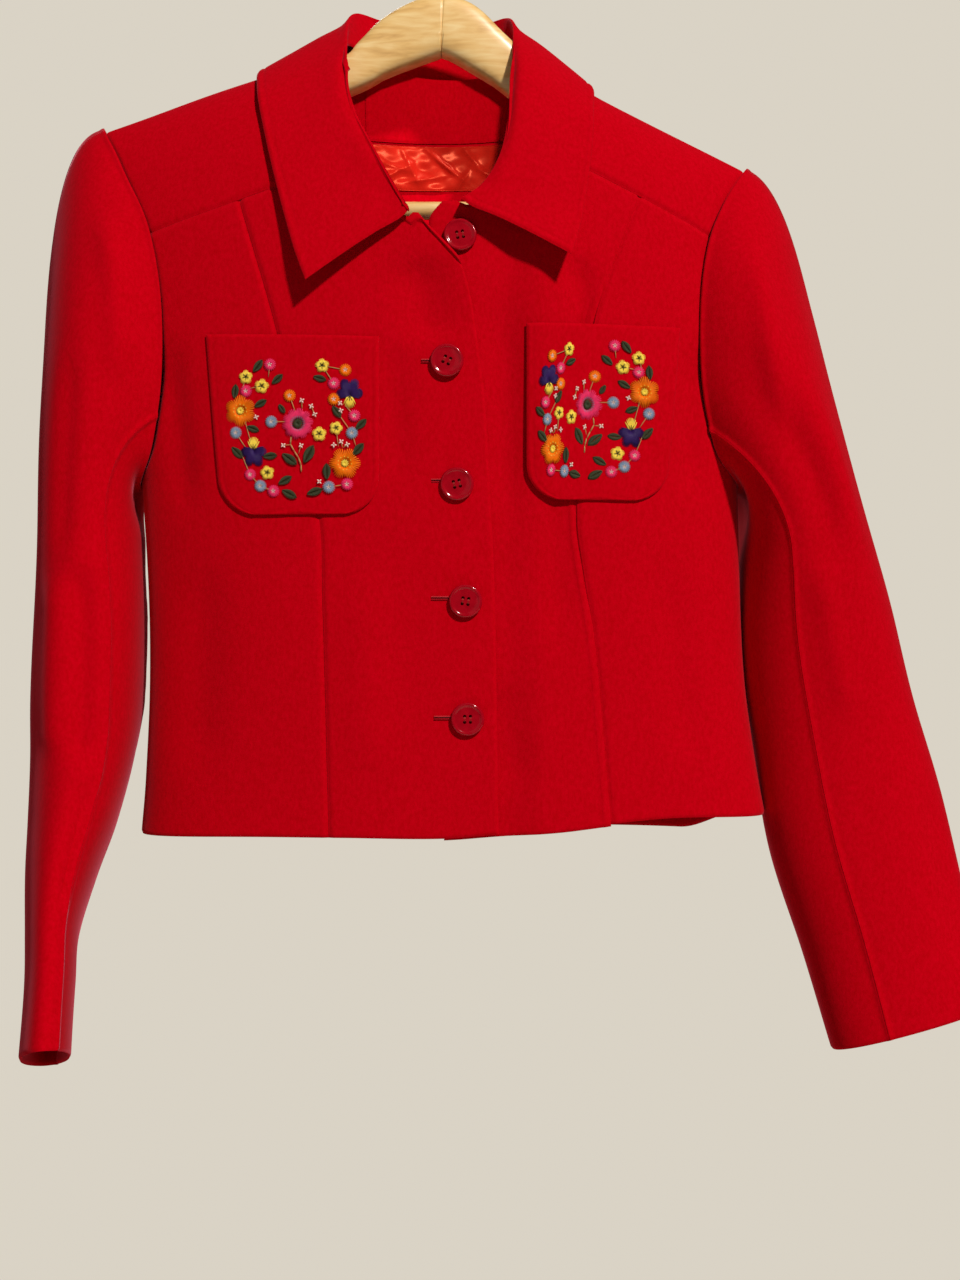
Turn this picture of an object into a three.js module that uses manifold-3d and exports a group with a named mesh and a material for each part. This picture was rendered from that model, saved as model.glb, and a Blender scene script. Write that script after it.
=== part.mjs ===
// A cropped wool jacket with a pointed collar, patch pockets and two-piece sleeves, on a wooden hanger.
//
// Millimetres, +Z up. The origin is the point of the hook that bears on a rail. +X is the wearer's left,
// the front faces -Y. Each piece of cloth is a thin closed wall; neighbouring pieces stay a seam gap apart.
//
// The body is described in its own chart: an angle round the body (0 at the centre, 90 at a side seam; its
// sine is the share of the half width) and a level (1 on the shoulder seam, 0 at the underarm, -1 at the hem).

import * as THREE from 'three';
import { mergeVertices } from 'three/addons/utils/BufferGeometryUtils.js';
import Module from 'manifold-3d';

const wasm = await Module();
wasm.setup();

// ---------------------------------------------------------------- driving dimensions

const WOOL = 2;                 // thickness of the wool
const SATIN = 1;                // thickness of the lining
const SEAM_GAP = 0.4;           // between neighbouring pieces
const ARMHOLE_GAP = 1.1;        // between the body and the sleeve heads, whose facets differ
const UNDERARM_Z = -398;
const CHEST_FRONT = 60;         // half depth of the body in front of its middle plane
const CHEST_BACK = 62;
const BODY_ROUNDNESS = 0.8;     // exponent of the body's flattened oval
const SHOULDER_FALL = 3;        // how sharply the body deepens below the shoulder seam
const SHOULDER_ROUND = 0.6;
const NECK_MIDDLE = { x: -8, z: -90 };
const FALL_CLEARANCE = 4.8;     // of the fall's outer side from the body
const STAND_INSET = 5.8;        // from the neckline's edge to the stand
const NECK_RISE = 42;           // rise of the shoulder level over the neck opening

const BUTTON = { radius: 10.4, thickness: 3.2, rim: 2, dish: 0.6, hole: 1.05, holeOffset: 1.8 };
const LAP_DROP = 3.2;           // how far the under front lies behind the lap
const LAP_FADE = { from: 40, width: 26 };   // where it comes forward again
const LAP_LIFT = { depth: 4.2, x: 4, halfWidth: 30, z: -250, halfHeight: 32 };  // lap, round the open neck
const UNDER_SINK = { depth: 2, z: -240, halfHeight: 45 };                       // under front, same place
const UNDER_HEM_DROP = 1.5;     // of the under front's hem below the lap's
const HEM_MERGE = { from: 165, width: 45, drop: 2 };  // the back hem comes up to the front's
const BAR = { radius: 5.8, z: -215.2, endGap: 0.9 };
const HOOK = { wire: 1.8, inner: 18, stemFoot: -74.2 };

const FRONT = -1;
const BACK = 1;
const RIGHT = -1;               // wearer's right, at -X
const LEFT = 1;

// Shoulder seams: from the neck point to the tip, and how much they curve up towards the neck.
const SHOULDER = {
  [RIGHT]: { neckX: 66, neckZ: -109, tipX: 224, tipZ: -163.5, rise: 2 },
  [LEFT]: { neckX: 58, neckZ: -118.5, tipX: 201, tipZ: -190, rise: 9 },
};

// Half widths of the body at each level, in the chart above.
const WIDTHS = table(['level', 'right', 'left'], [
  [-1.00, 198, 213],
  [-0.85, 195, 207],
  [-0.60, 192.5, 200],
  [-0.30, 194, 196],
  [0.00, 197.5, 194.5],
  [0.10, 200, 194],
  [0.25, 204, 194],
  [0.43, 210, 195],
  [0.60, 219, 200],
  [0.85, 232, 211],
  [1.00, 240, 218],
]);

// Height of the front hem; the back hem hangs level and lower.
const HEM = table(['x', 'z'], [
  [-215, -627], [-130, -623.5], [-60, -623], [0, -623.5], [37, -621], [75, -618.5], [107, -615], [150, -612],
  [215, -614],
]);
const BACK_HEM_Z = -630;

// Armholes from the shoulder tip to the underarm, as x and z on the front or back of the body.
const ARMHOLES = {
  [RIGHT]: {
    [FRONT]: [[-224, -163.5], [-213, -183], [-204, -202], [-190, -230], [-182, -259], [-178, -291], [-178, -329],
      [-181.5, -358], [-186.5, -379], [-197.5, -398]],
    [BACK]: [[-224, -163.5], [-211, -190], [-197, -222], [-188, -260], [-185, -300], [-185, -340], [-187.5, -366],
      [-191, -383], [-197.5, -398]],
  },
  [LEFT]: {
    [FRONT]: [[201, -190], [192, -203], [183, -219], [173, -243], [167.5, -271], [165.5, -303], [166.5, -335],
      [171, -361], [178, -381], [194.5, -398]],
    [BACK]: [[201, -190], [190, -212], [180, -240], [174, -275], [172, -310], [173, -342], [177, -366],
      [184, -384], [194.5, -398]],
  },
};

// Seams of the fronts, as x for each height z.
const PRINCESS = {
  [RIGHT]: table(['z', 'x'], [[-630, -69], [-475, -73], [-420, -76], [-308, -102], [-223, -127], [-200, -133]]),
  [LEFT]: table(['z', 'x'], [[-630, 108], [-574, 103.5], [-500, 96.5], [-460, 90], [-425, 85.5], [-360, 88],
    [-300, 97], [-258, 111], [-221, 125], [-200, 133]]),
};
const LAP_EDGE = table(['z', 'x'], [[-640, 37], [-550, 35.5], [-475, 34.3], [-401, 31], [-351, 28], [-314, 23.5],
  [-288, 19.5], [-272, 15.5], [-261, 11]]);
const UNDER_EDGE = table(['z', 'x'], [[-640, 3], [-560, 1], [-300, -5], [-236, -7], [-224, 1]]);

// Yoke seams, from the neckline to the armhole.
const YOKE_SEAM = {
  [RIGHT]: [[-51, -195.5], [-106.7, -215], [-187, -240]],
  [LEFT]: [[52.5, -180], [94, -201.5], [173, -241]],
};

// Neckline of each front, from the shoulder down to the end of the collar and on to the front edge.
const NECKLINE = {
  [RIGHT]: [[-66, -107], [-67, -132], [-64.5, -155], [-59, -178], [-51, -195.5], [-40, -213], [-30, -227],
    [-20.5, -236.5], [-15, -233], [-8, -241], [2, -251.5], [11, -261]],
  [LEFT]: [[58, -110.5], [59.5, -138], [57.5, -162], [52.5, -180], [43, -206], [31, -221], [19, -226.5],
    [10, -224], [1, -224]],
};
const BACK_NECK = table(['x', 'z'], [[-66, -107], [-50, -114], [-30, -119.5], [0, -122], [30, -122], [46, -118],
  [58, -110.5]]);

// The collar, station by station from the wearer's right end to the left one: the seam on the neckline
// (seamX, seamZ), the roll where it folds over (rollX, rollY, rollZ), the outer edge (edgeX, edgeZ) and
// how far that edge stands off the body. face: -1 front, 0 on the shoulder seam, 1 back.
const COLLAR = table(
  ['face', 'seamX', 'seamZ', 'rollX', 'rollY', 'rollZ', 'edgeX', 'edgeZ', 'lift'], [
    [-1, -19, -238, -17.5, -63, -234.5, -81, -280, 16],
    [-1, -30, -227, -29, -57, -214, -88, -262, 13],
    [-1, -40, -213, -41, -50, -191, -95, -240, 9],
    [-1, -51, -195.5, -53, -41, -166, -104, -208, 6],
    [-1, -64.5, -155, -59.5, -30, -140, -112, -176, 5],
    [-1, -67, -132, -61, -17, -114, -118, -148, 5],
    [0, -66, -107, -62, 9, -86, -121, -128, 5],
    [1, -50, -114, -57, 25, -74, -106, -141, 4],
    [1, -30, -119.5, -34, 40, -74, -62, -146, 4],
    [1, 0, -122, -6, 44, -74, -8, -148, 4],
    [1, 30, -122, 23, 39, -76, 46, -149, 4],
    [1, 46, -118, 41, 26, -77, 84, -149, 4],
    [0, 58, -110.5, 46, 9, -88, 99, -139, 5],
    [-1, 59.5, -138, 45, -18, -122, 97, -162, 5],
    [-1, 57.5, -162, 43, -31, -148, 95, -192, 5],
    [-1, 52.5, -180, 41, -42, -174, 91, -219, 6],
    [-1, 43, -206, 36, -50, -198, 87, -240, 9],
    [-1, 31, -221, 26, -54, -216, 83, -253, 14],
    [-1, 14.5, -228, 12.5, -60, -227.5, 79, -265, 18],
  ]);

// Patch pockets on the body: corner places, the inward slant of the outer side, lower corner radius.
const POCKETS = {
  [RIGHT]: {
    innerX: -37.5, outerX: -147, topInnerZ: -312, topOuterZ: -308, bottomZ: -422, slant: 10, corner: 23,
  },
  [LEFT]: {
    innerX: 54, outerX: 151, topInnerZ: -303, topOuterZ: -303, bottomZ: -413, slant: 9, corner: 22,
  },
};
const POCKET_WALL = 2;

// Inside the back neck: a wool facing, and the satin lining below it.
const FACING = { fromX: -54, toX: 46, topDrop: 1, bottomZ: -155, thickness: 1.4 };
const LINING = { fromX: -84, toX: 74, topZ: -157, bottomZ: -186 };
const INSIDE_DEPTH = WOOL + 3 * SEAM_GAP;   // of their outer side below the back's

// Shares of the outlines: the neckline in a front's top, the armhole in a side edge, the head in a sleeve.
const NECK_SHARE = 0.45;
const SIDE_ARMHOLE_SHARE = 0.42;
const BACK_ARMHOLE_SHARE = 0.5;
const HEAD_SHARE = 0.36;

const BUTTONS = table(['x', 'z', 'side'], [
  [12.5, -247, LEFT], [4.5, -327, RIGHT], [10.7, -403.5, RIGHT], [16, -476, RIGHT], [17.3, -549, RIGHT],
]);

// Sleeves below the armhole, ring by ring: centre, half width across, half depth front to back, and how
// far the ring leans outward and forward, and how far its front turns to the middle, in degrees.
const SLEEVES = {
  [RIGHT]: table(['x', 'y', 'z', 'across', 'deep', 'leanOut', 'leanFront', 'turn'], [
    [-233, 2, -436, 32, 61, 0, 0, 9],
    [-234, 1, -480, 33, 65, 0, 0, 13],
    [-234.5, -3, -539, 33.3, 67, 0, 2, 14],
    [-235.5, -9, -577, 31, 66, 0, 8, 15],
    [-239, -20, -617, 26, 66, 0, 14, 16],
    [-242.5, -34, -650, 20, 64, 0, 18, 17],
    [-243, -51, -684, 14.5, 62, 0, 20, 17],
    [-239, -68, -712, 13.5, 61, 0, 20, 17],
    [-233.5, -95, -749, 13, 59, 0, 20, 17],
  ]),
  [LEFT]: table(['x', 'y', 'z', 'across', 'deep', 'leanOut', 'leanFront', 'turn'], [
    [240, 8, -440, 42, 53, 17, 0, 0],
    [248.5, 10, -495, 50, 47, 17, 0, 0],
    [260.5, 8, -556, 53, 41, 16, 0, 0],
    [274.5, 2, -622, 56.5, 36, 16, 3, 0],
    [291, -8, -690, 53.5, 32, 16, 7, 0],
    [303, -22, -751, 49.5, 27, 16, 11, 0],
  ]),
};
const SLEEVE_SEAM = 112;        // angle of the sleeve seams from the outermost line, degrees
const SEAM_TURN = 0.4;          // half the gap at those seams, degrees
const SLEEVE_SEAM_SHARE = 0.82; // how far down the armhole they start
const SLEEVE_ROUNDNESS = 0.9;
const CAP = {                   // how the sleeve head leaves the armhole, as shares of its length
  [RIGHT]: { outTop: 0.16, outSide: 0.3, downTop: 0.02, downSide: 0.2, forward: 0.2, rise: 0.33 },
  [LEFT]: { outTop: 0.14, outSide: 0.25, downTop: 0.05, downSide: 0.2, forward: 0.2, rise: 0.35 },
};

// Folds of the sleeves: angle and width in degrees, depth in mm (inward), and the ring range they cross.
const SLEEVE_FOLDS = {
  [RIGHT]: table(['angle', 'width', 'depth', 'from', 'to'], [
    [-88, 12, 4, 0.3, 3.4], [-60, 14, -3, 0.4, 3.2], [-100, 10, 3, 3.4, 6.0], [95, 14, 3, 0.5, 3.0],
  ]),
  [LEFT]: table(['angle', 'width', 'depth', 'from', 'to'], [
    [-80, 16, 3, -0.8, 0.5], [-60, 14, -2, -0.8, 0.4], [60, 16, 3, 0.2, 2.0], [-45, 16, 2, 2.6, 4.6],
  ]),
};

// The hanger's arms along their centre line, from the wearer's right end to the left one.
const ARMS = table(['x', 'z', 'height', 'thick'], [
  [-185, -228, 14, 13], [-185, -208, 14, 14], [-180, -192, 19, 14], [-167, -176.5, 22, 15], [-145, -163, 23, 16],
  [-118, -149, 24, 17], [-88, -136, 24, 18], [-58, -124, 24, 18], [-45, -114.5, 29, 18], [-30, -104.5, 36, 19],
  [-12, -96, 39, 20], [0, -93.5, 38, 20], [12, -97, 38, 20], [28, -109, 33, 19], [41, -119.5, 29, 17],
  [58, -137, 20, 14], [88, -149.5, 21, 17], [118, -165, 21, 16], [143, -178.5, 20, 15], [160, -192, 19, 14],
  [172, -208, 14, 14], [172, -228, 14, 13],
]);

// ---------------------------------------------------------------- small helpers

function table(columns, rows) {
  return rows.map((row) => Object.fromEntries(columns.map((name, k) => [name, row[k]])));
}

const lerp = (a, b, t) => a + (b - a) * t;
const clamp01 = (t) => Math.min(1, Math.max(0, t));
const smoothstep = (t) => clamp01(t) ** 2 * (3 - 2 * clamp01(t));
const rad = THREE.MathUtils.degToRad;
const bump = (distance, width) => Math.exp(-((distance / width) ** 2));
const signedPower = (value, power) => Math.sign(value) * Math.abs(value) ** power;

/** Smooth value of one column of a table at a place in another, by cubic pieces through its rows. */
function along(rows, key, column, place) {
  const last = rows.length - 1;
  const up = rows[last][key] > rows[0][key];
  const at = up ? place : -place;
  const keyAt = (k) => (up ? rows[k][key] : -rows[k][key]);
  if (at <= keyAt(0)) return rows[0][column];
  if (at >= keyAt(last)) return rows[last][column];
  let k = 0;
  while (keyAt(k + 1) < at) k += 1;
  const slope = (i, j) => (rows[j][column] - rows[i][column]) / (keyAt(j) - keyAt(i));
  const span = keyAt(k + 1) - keyAt(k);
  const s0 = k > 0 ? slope(k - 1, k + 1) : slope(k, k + 1);
  const s1 = k + 1 < last ? slope(k, k + 2) : slope(k, k + 1);
  const t = (at - keyAt(k)) / span;
  const a = rows[k][column];
  const b = rows[k + 1][column];
  return a + t * (span * s0 + t * (3 * (b - a) - span * (2 * s0 + s1) + t * (2 * (a - b) + span * (s0 + s1))));
}

/** Value of a column at a row number that may lie between rows. */
function atRow(rows, column, place) {
  return along(rows.map((row, k) => ({ k, v: row[column] })), 'k', 'v', place);
}

/** A curve in the (x, z) plane through points, evenly spaced by length; t from 0 to 1. */
function curveThrough(points) {
  const spline = new THREE.SplineCurve(points.map(([x, z]) => new THREE.Vector2(x, z)));
  return (t) => spline.getPointAt(clamp01(t)).toArray();
}

/** Two curves end to end; the first takes the given share of t. */
function joined(first, second, share) {
  return (t) => (t < share ? first(t / share) : second((t - share) / (1 - share)));
}

// ---------------------------------------------------------------- the body's surface

/** Height of the shoulder seam at x; over the neck opening it is only a guide. */
function shoulderZ(x) {
  const side = x < 0 ? RIGHT : LEFT;
  const { neckX, neckZ, tipX, tipZ, rise } = SHOULDER[side];
  const reach = Math.abs(x);
  if (reach >= neckX) {
    return lerp(neckZ, tipZ, (reach - neckX) / (tipX - neckX)) + rise * bump(reach - neckX, 24);
  }
  const middle = (SHOULDER[RIGHT].neckZ + SHOULDER[LEFT].neckZ) / 2;
  const t = reach / neckX;
  return lerp(middle, neckZ + rise, t) + NECK_RISE * (1 - t * t) ** 2;
}

/** Height of the hem; both hems run together towards the side seams. */
function hemZ(x, face) {
  const frontZ = along(HEM, 'x', 'z', x);
  if (face === FRONT) return frontZ;
  const nearSide = smoothstep((Math.abs(x) - HEM_MERGE.from) / HEM_MERGE.width);
  return lerp(BACK_HEM_Z, frontZ - HEM_MERGE.drop, nearSide);
}

function levelAt(x, z, face) {
  if (z >= UNDERARM_Z) return (z - UNDERARM_Z) / (shoulderZ(x) - UNDERARM_Z);
  return (z - UNDERARM_Z) / (UNDERARM_Z - hemZ(x, face));
}

function heightAt(x, level, face) {
  if (level >= 0) return UNDERARM_Z + level * (shoulderZ(x) - UNDERARM_Z);
  return UNDERARM_Z + level * (UNDERARM_Z - hemZ(x, face));
}

const halfWidth = (level, side) => along(WIDTHS, 'level', side === RIGHT ? 'right' : 'left', level);

/** Place on the chart (signed angle in degrees, level) of a point given by x and z. */
function chart([x, z], face) {
  const side = x < 0 ? RIGHT : LEFT;
  const level = levelAt(x, z, face);
  const share = clamp01(Math.abs(x) / halfWidth(level, side));
  return [side * THREE.MathUtils.radToDeg(Math.asin(share)), level];
}

/** How far a front is moved forward (-) or back (+) round the lap and the open top button. */
function lapShift(x, z, side) {
  if (side === RIGHT) {
    const { depth, halfWidth: across, halfHeight } = LAP_LIFT;
    return -depth * bump(x - LAP_LIFT.x, across) * bump(z - LAP_LIFT.z, halfHeight);
  }
  const under = 1 - smoothstep((x - LAP_FADE.from) / LAP_FADE.width);
  return (LAP_DROP + UNDER_SINK.depth * bump(z - UNDER_SINK.z, UNDER_SINK.halfHeight)) * under;
}

/** Point of the body's outer surface. lap picks the front that it belongs to. */
function bodyPoint([angle, level], face, lap) {
  const side = angle < 0 ? RIGHT : LEFT;
  const share = Math.sin(rad(Math.min(90, Math.abs(angle))));
  const ovalCosine = Math.sqrt(Math.max(0, 1 - share ** (2 / BODY_ROUNDNESS)));
  const l = Math.min(1, level);
  const x = side * halfWidth(l, side) * share;
  const fall = l > 0 ? (1 - l ** SHOULDER_FALL) ** SHOULDER_ROUND : 1;
  const depth = (face === FRONT ? CHEST_FRONT : CHEST_BACK) * fall;
  const z = heightAt(x, l, face);
  const y = face * (SEAM_GAP / 2 + depth * ovalCosine ** BODY_ROUNDNESS);
  return new THREE.Vector3(x, y + (lap ? lapShift(x, z, lap) : 0), z);
}

/** Outer point and outward normal of the body at x and z. */
function bodyFrame(x, z, face, lap) {
  const at = (dx, dz) => bodyPoint(chart([x + dx, z + dz], face), face, lap);
  const point = at(0, 0);
  const across = at(0.5, 0).sub(at(-0.5, 0));
  const up = at(0, 0.5).sub(at(0, -0.5));
  const normal = across.cross(up).normalize();
  if (normal.y * face < 0) normal.negate();
  return { point, normal };
}

/** A patch of the body between four edges given as curves in (x, z); u runs across, v down. */
function bodyPatch({ top, bottom, inner, outer, face, lap }) {
  const on = (edge, t) => chart(edge(t), face);
  const mix = (u, v, k) => (1 - v) * on(top, u)[k] + v * on(bottom, u)[k]
    + (1 - u) * on(inner, v)[k] + u * on(outer, v)[k]
    - (1 - u) * (1 - v) * on(top, 0)[k] - u * (1 - v) * on(top, 1)[k]
    - (1 - u) * v * on(bottom, 0)[k] - u * v * on(bottom, 1)[k];
  return (u, v) => bodyPoint([mix(u, v, 0), mix(u, v, 1)], face, lap);
}

// ---------------------------------------------------------------- making solids

/** Vertices and triangles as a geometry. */
function meshOf(points, triangles) {
  const geometry = new THREE.BufferGeometry();
  geometry.setAttribute('position', new THREE.Float32BufferAttribute(points.flatMap((p) => [p.x, p.y, p.z]), 3));
  geometry.setIndex(triangles);
  return geometry;
}

/** Outward normal of a surface at (u, v), by small steps that stay inside it. */
function surfaceNormal(surface, u, v) {
  const step = 4e-3;
  const du = surface(Math.min(1, u + step), v).sub(surface(Math.max(0, u - step), v));
  const dv = surface(u, Math.min(1, v + step)).sub(surface(u, Math.max(0, v - step)));
  return du.cross(dv).normalize();
}

/**
 * A closed wall on a surface: its outer skin at the given (u, v) steps, an inner skin one thickness
 * inside, and the edges between them. flip turns the outward side round; limit may move inner points.
 */
function wall(surface, us, vs, thickness, flip, limit = (point) => point) {
  const outer = [];
  const inner = [];
  for (const v of vs) {
    for (const u of us) {
      const point = surface(u, v);
      const normal = surfaceNormal(surface, u, v).multiplyScalar(flip ? -1 : 1);
      outer.push(point);
      inner.push(limit(point.clone().addScaledVector(normal, -thickness)));
    }
  }
  const columns = us.length;
  const rows = vs.length;
  const half = outer.length;
  const triangles = [];
  const skin = [...outer, ...inner];
  const facet = (a, b, c) => (flip ? triangles.push(a, c, b) : triangles.push(a, b, c));
  const quad = (a, b, c, d) => {
    if (skin[a].distanceTo(skin[c]) <= skin[b].distanceTo(skin[d])) {
      facet(a, b, c);
      facet(a, c, d);
    } else {
      facet(a, b, d);
      facet(b, c, d);
    }
  };
  const at = (i, j) => j * columns + i;
  for (let j = 0; j < rows - 1; j += 1) {
    for (let i = 0; i < columns - 1; i += 1) {
      const corners = [at(i, j), at(i + 1, j), at(i + 1, j + 1), at(i, j + 1)];
      quad(...corners);
      quad(...corners.map((k) => k + half).reverse());
    }
  }
  const rim = [];
  for (let i = 0; i < columns - 1; i += 1) rim.push(at(i, 0));
  for (let j = 0; j < rows - 1; j += 1) rim.push(at(columns - 1, j));
  for (let i = columns - 1; i > 0; i -= 1) rim.push(at(i, rows - 1));
  for (let j = rows - 1; j > 0; j -= 1) rim.push(at(0, j));
  rim.forEach((from, k) => {
    const to = rim[(k + 1) % rim.length];
    quad(from, from + half, to + half, to);
  });
  return meshOf(skin, triangles);
}

const steps = (count) => Array.from({ length: count + 1 }, (_, k) => k / count);

/** Keeps the points of a front or back wall on their own side of the seams between them. */
const keepTo = (face) => (point) => {
  point.y = face === FRONT ? Math.min(point.y, -SEAM_GAP / 2) : Math.max(point.y, SEAM_GAP / 2);
  return point;
};

/** Steps split at given shares: [[end of stretch, number of steps], ...]. */
function splitSteps(stretches) {
  const result = [0];
  let start = 0;
  for (const [end, count] of stretches) {
    for (let k = 1; k <= count; k += 1) result.push(lerp(start, end, k / count));
    start = end;
  }
  return result;
}

/** A closed solid through rings of points, with flat ends. */
function loft(rings) {
  const n = rings[0].length;
  const points = rings.flat();
  const triangles = [];
  for (let j = 0; j < rings.length - 1; j += 1) {
    for (let i = 0; i < n; i += 1) {
      const a = j * n + i;
      const b = j * n + ((i + 1) % n);
      triangles.push(a, b, b + n, a, b + n, a + n);
    }
  }
  const end = (rings.length - 1) * n;
  for (let i = 1; i < n - 1; i += 1) {
    triangles.push(0, i + 1, i);
    triangles.push(end, end + i, end + i + 1);
  }
  return meshOf(points, triangles);
}

function toManifold(geometry) {
  const bare = geometry.clone();
  bare.deleteAttribute('normal');
  bare.deleteAttribute('uv');
  const merged = mergeVertices(bare, 1e-4);
  return new wasm.Manifold(new wasm.Mesh({
    numProp: 3,
    vertProperties: merged.attributes.position.array,
    triVerts: Uint32Array.from(merged.index.array),
  }));
}

function fromManifold(solid) {
  const { vertProperties, triVerts } = solid.getMesh();
  const geometry = new THREE.BufferGeometry();
  geometry.setAttribute('position', new THREE.Float32BufferAttribute(vertProperties, 3));
  geometry.setIndex(Array.from(triVerts));
  return geometry;
}

// ---------------------------------------------------------------- materials

function material(color, roughness, metalness = 0) {
  return new THREE.MeshStandardMaterial({ color, roughness, metalness });
}
const wool = material(0xb00a1c, 0.9);
const satin = material(0xd6301c, 0.35);
const gloss = material(0x8c0d18, 0.15);
const wood = material(0xe2b877, 0.45);
const steel = material(0xc8c8c8, 0.3, 1);

const jacket = new THREE.Group();

function add(name, geometry, finish) {
  const mesh = new THREE.Mesh(geometry, finish);
  mesh.name = name;
  jacket.add(mesh);
  return mesh;
}

const sideName = (side) => (side === RIGHT ? 'right' : 'left');

// ---------------------------------------------------------------- fronts, yokes and back

const shiftX = (edge, dx) => (t) => [edge(t)[0] + dx, edge(t)[1]];
const shiftZ = (edge, dz) => (t) => [edge(t)[0], edge(t)[1] + dz];

/** An edge that follows a seam table from one height to another. */
const seamEdge = (rows, topZ, bottomZ) => (t) => {
  const z = lerp(topZ, bottomZ, t);
  return [along(rows, 'z', 'x', z), z];
};

const hemEdge = (fromX, toX, face, drop = 0) => (t) => {
  const x = lerp(fromX, toX, t);
  return [x, hemZ(x, face) - drop];
};

/** Outer edge of a side panel: down the armhole from a height, then down the side seam. */
function sideEdge(side, face, fromZ, armholeShare) {
  const hole = ARMHOLES[side][face];
  const below = hole.filter(([, z]) => z < fromZ - 4);
  const above = hole.filter(([, z]) => z >= fromZ - 4);
  const [xa, za] = above[above.length - 1];
  const [xb, zb] = below[0];
  const start = [lerp(xa, xb, (fromZ - za) / (zb - za)), fromZ];
  const armhole = curveThrough([start, ...below]);
  const seam = (t) => {
    const level = -t;
    const x = side * halfWidth(level, side);
    return [x, heightAt(x, level, face)];
  };
  return joined(armhole, seam, armholeShare);
}

function front(side) {
  const neck = NECKLINE[side];
  const join = YOKE_SEAM[side][0];
  const joinRow = neck.findIndex(([x, z]) => x === join[0] && z === join[1]);
  const neckPart = curveThrough(neck.slice(joinRow).reverse());
  const edgeZ = neck[neck.length - 1][1];
  const princessTop = princessTopPoint(side);
  const yokePart = curveThrough([join, ...YOKE_SEAM[side].slice(1, 2), princessTop]);
  const drop = side * SEAM_GAP / 2;
  const columns = splitSteps([[NECK_SHARE, 5], [1, 5]]);
  const edgeRows = side === RIGHT ? LAP_EDGE : UNDER_EDGE;
  const hemEnd = PRINCESS[side][0].x;
  const hemStart = edgeRows[0].x;
  const hemDrop = side === LEFT ? UNDER_HEM_DROP : 0;
  const surface = bodyPatch({
    top: shiftZ(joined(neckPart, yokePart, NECK_SHARE), -SEAM_GAP / 2),
    bottom: hemEdge(hemStart, hemEnd - drop, FRONT, hemDrop),
    inner: seamEdge(edgeRows, edgeZ - SEAM_GAP / 2, hemZ(hemStart, FRONT) - hemDrop),
    outer: shiftX(seamEdge(PRINCESS[side], princessTop[1] - SEAM_GAP / 2, hemZ(hemEnd, FRONT) - hemDrop), -drop),
    face: FRONT,
    lap: side,
  });
  add(`front_${sideName(side)}`, wall(surface, columns, steps(20), WOOL, side === LEFT), wool);
}

/** Where the princess seam meets the yoke seam. */
function princessTopPoint(side) {
  const yoke = curveThrough(YOKE_SEAM[side]);
  let low = 0;
  let high = 1;
  for (let k = 0; k < 40; k += 1) {
    const middle = (low + high) / 2;
    const [x, z] = yoke(middle);
    if (Math.abs(x) < Math.abs(along(PRINCESS[side], 'z', 'x', z))) low = middle;
    else high = middle;
  }
  return yoke(low);
}

function sideFront(side) {
  const topPoint = princessTopPoint(side);
  const yokeEnd = YOKE_SEAM[side][2];
  const gap = side * SEAM_GAP / 2;
  const hemX = PRINCESS[side][0].x;
  const seamX = side * halfWidth(-1, side);
  const surface = bodyPatch({
    top: shiftZ((t) => [lerp(topPoint[0] + gap, yokeEnd[0], t), lerp(topPoint[1], yokeEnd[1], t)], -SEAM_GAP / 2),
    bottom: hemEdge(hemX + gap, seamX, FRONT),
    inner: shiftX(seamEdge(PRINCESS[side], topPoint[1] - SEAM_GAP / 2, hemZ(hemX, FRONT)), gap),
    outer: sideEdge(side, FRONT, yokeEnd[1] - SEAM_GAP / 2, SIDE_ARMHOLE_SHARE),
    face: FRONT,
    lap: side,
  });
  const rows = splitSteps([[0.3, 5], [0.38, 3], [SIDE_ARMHOLE_SHARE, 3], [1, 8]]);
  add(`side_front_${sideName(side)}`, wall(surface, steps(7), rows, WOOL, side === LEFT, keepTo(FRONT)), wool);
}

function yoke(side) {
  const { neckX, tipX } = SHOULDER[side];
  const join = YOKE_SEAM[side][0];
  const joinRow = NECKLINE[side].findIndex(([x, z]) => x === join[0] && z === join[1]);
  const yokeEnd = YOKE_SEAM[side][2];
  const hole = ARMHOLES[side][FRONT].filter(([, z]) => z > yokeEnd[1] + 6);
  const ridge = (t) => {
    const x = side * lerp(neckX, tipX, t);
    return [x, shoulderZ(x)];
  };
  const surface = bodyPatch({
    top: ridge,
    bottom: shiftZ(curveThrough(YOKE_SEAM[side]), SEAM_GAP),
    inner: curveThrough([...NECKLINE[side].slice(0, joinRow), [join[0], join[1] + SEAM_GAP]]),
    outer: curveThrough([...hole, [yokeEnd[0], yokeEnd[1] + SEAM_GAP]]),
    face: FRONT,
  });
  const rows = [0, 0.02, 0.07, 0.16, 0.32, 0.55, 0.78, 1];
  add(`yoke_${sideName(side)}`, wall(surface, steps(8), rows, WOOL, side === LEFT, keepTo(FRONT)), wool);
}

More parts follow.
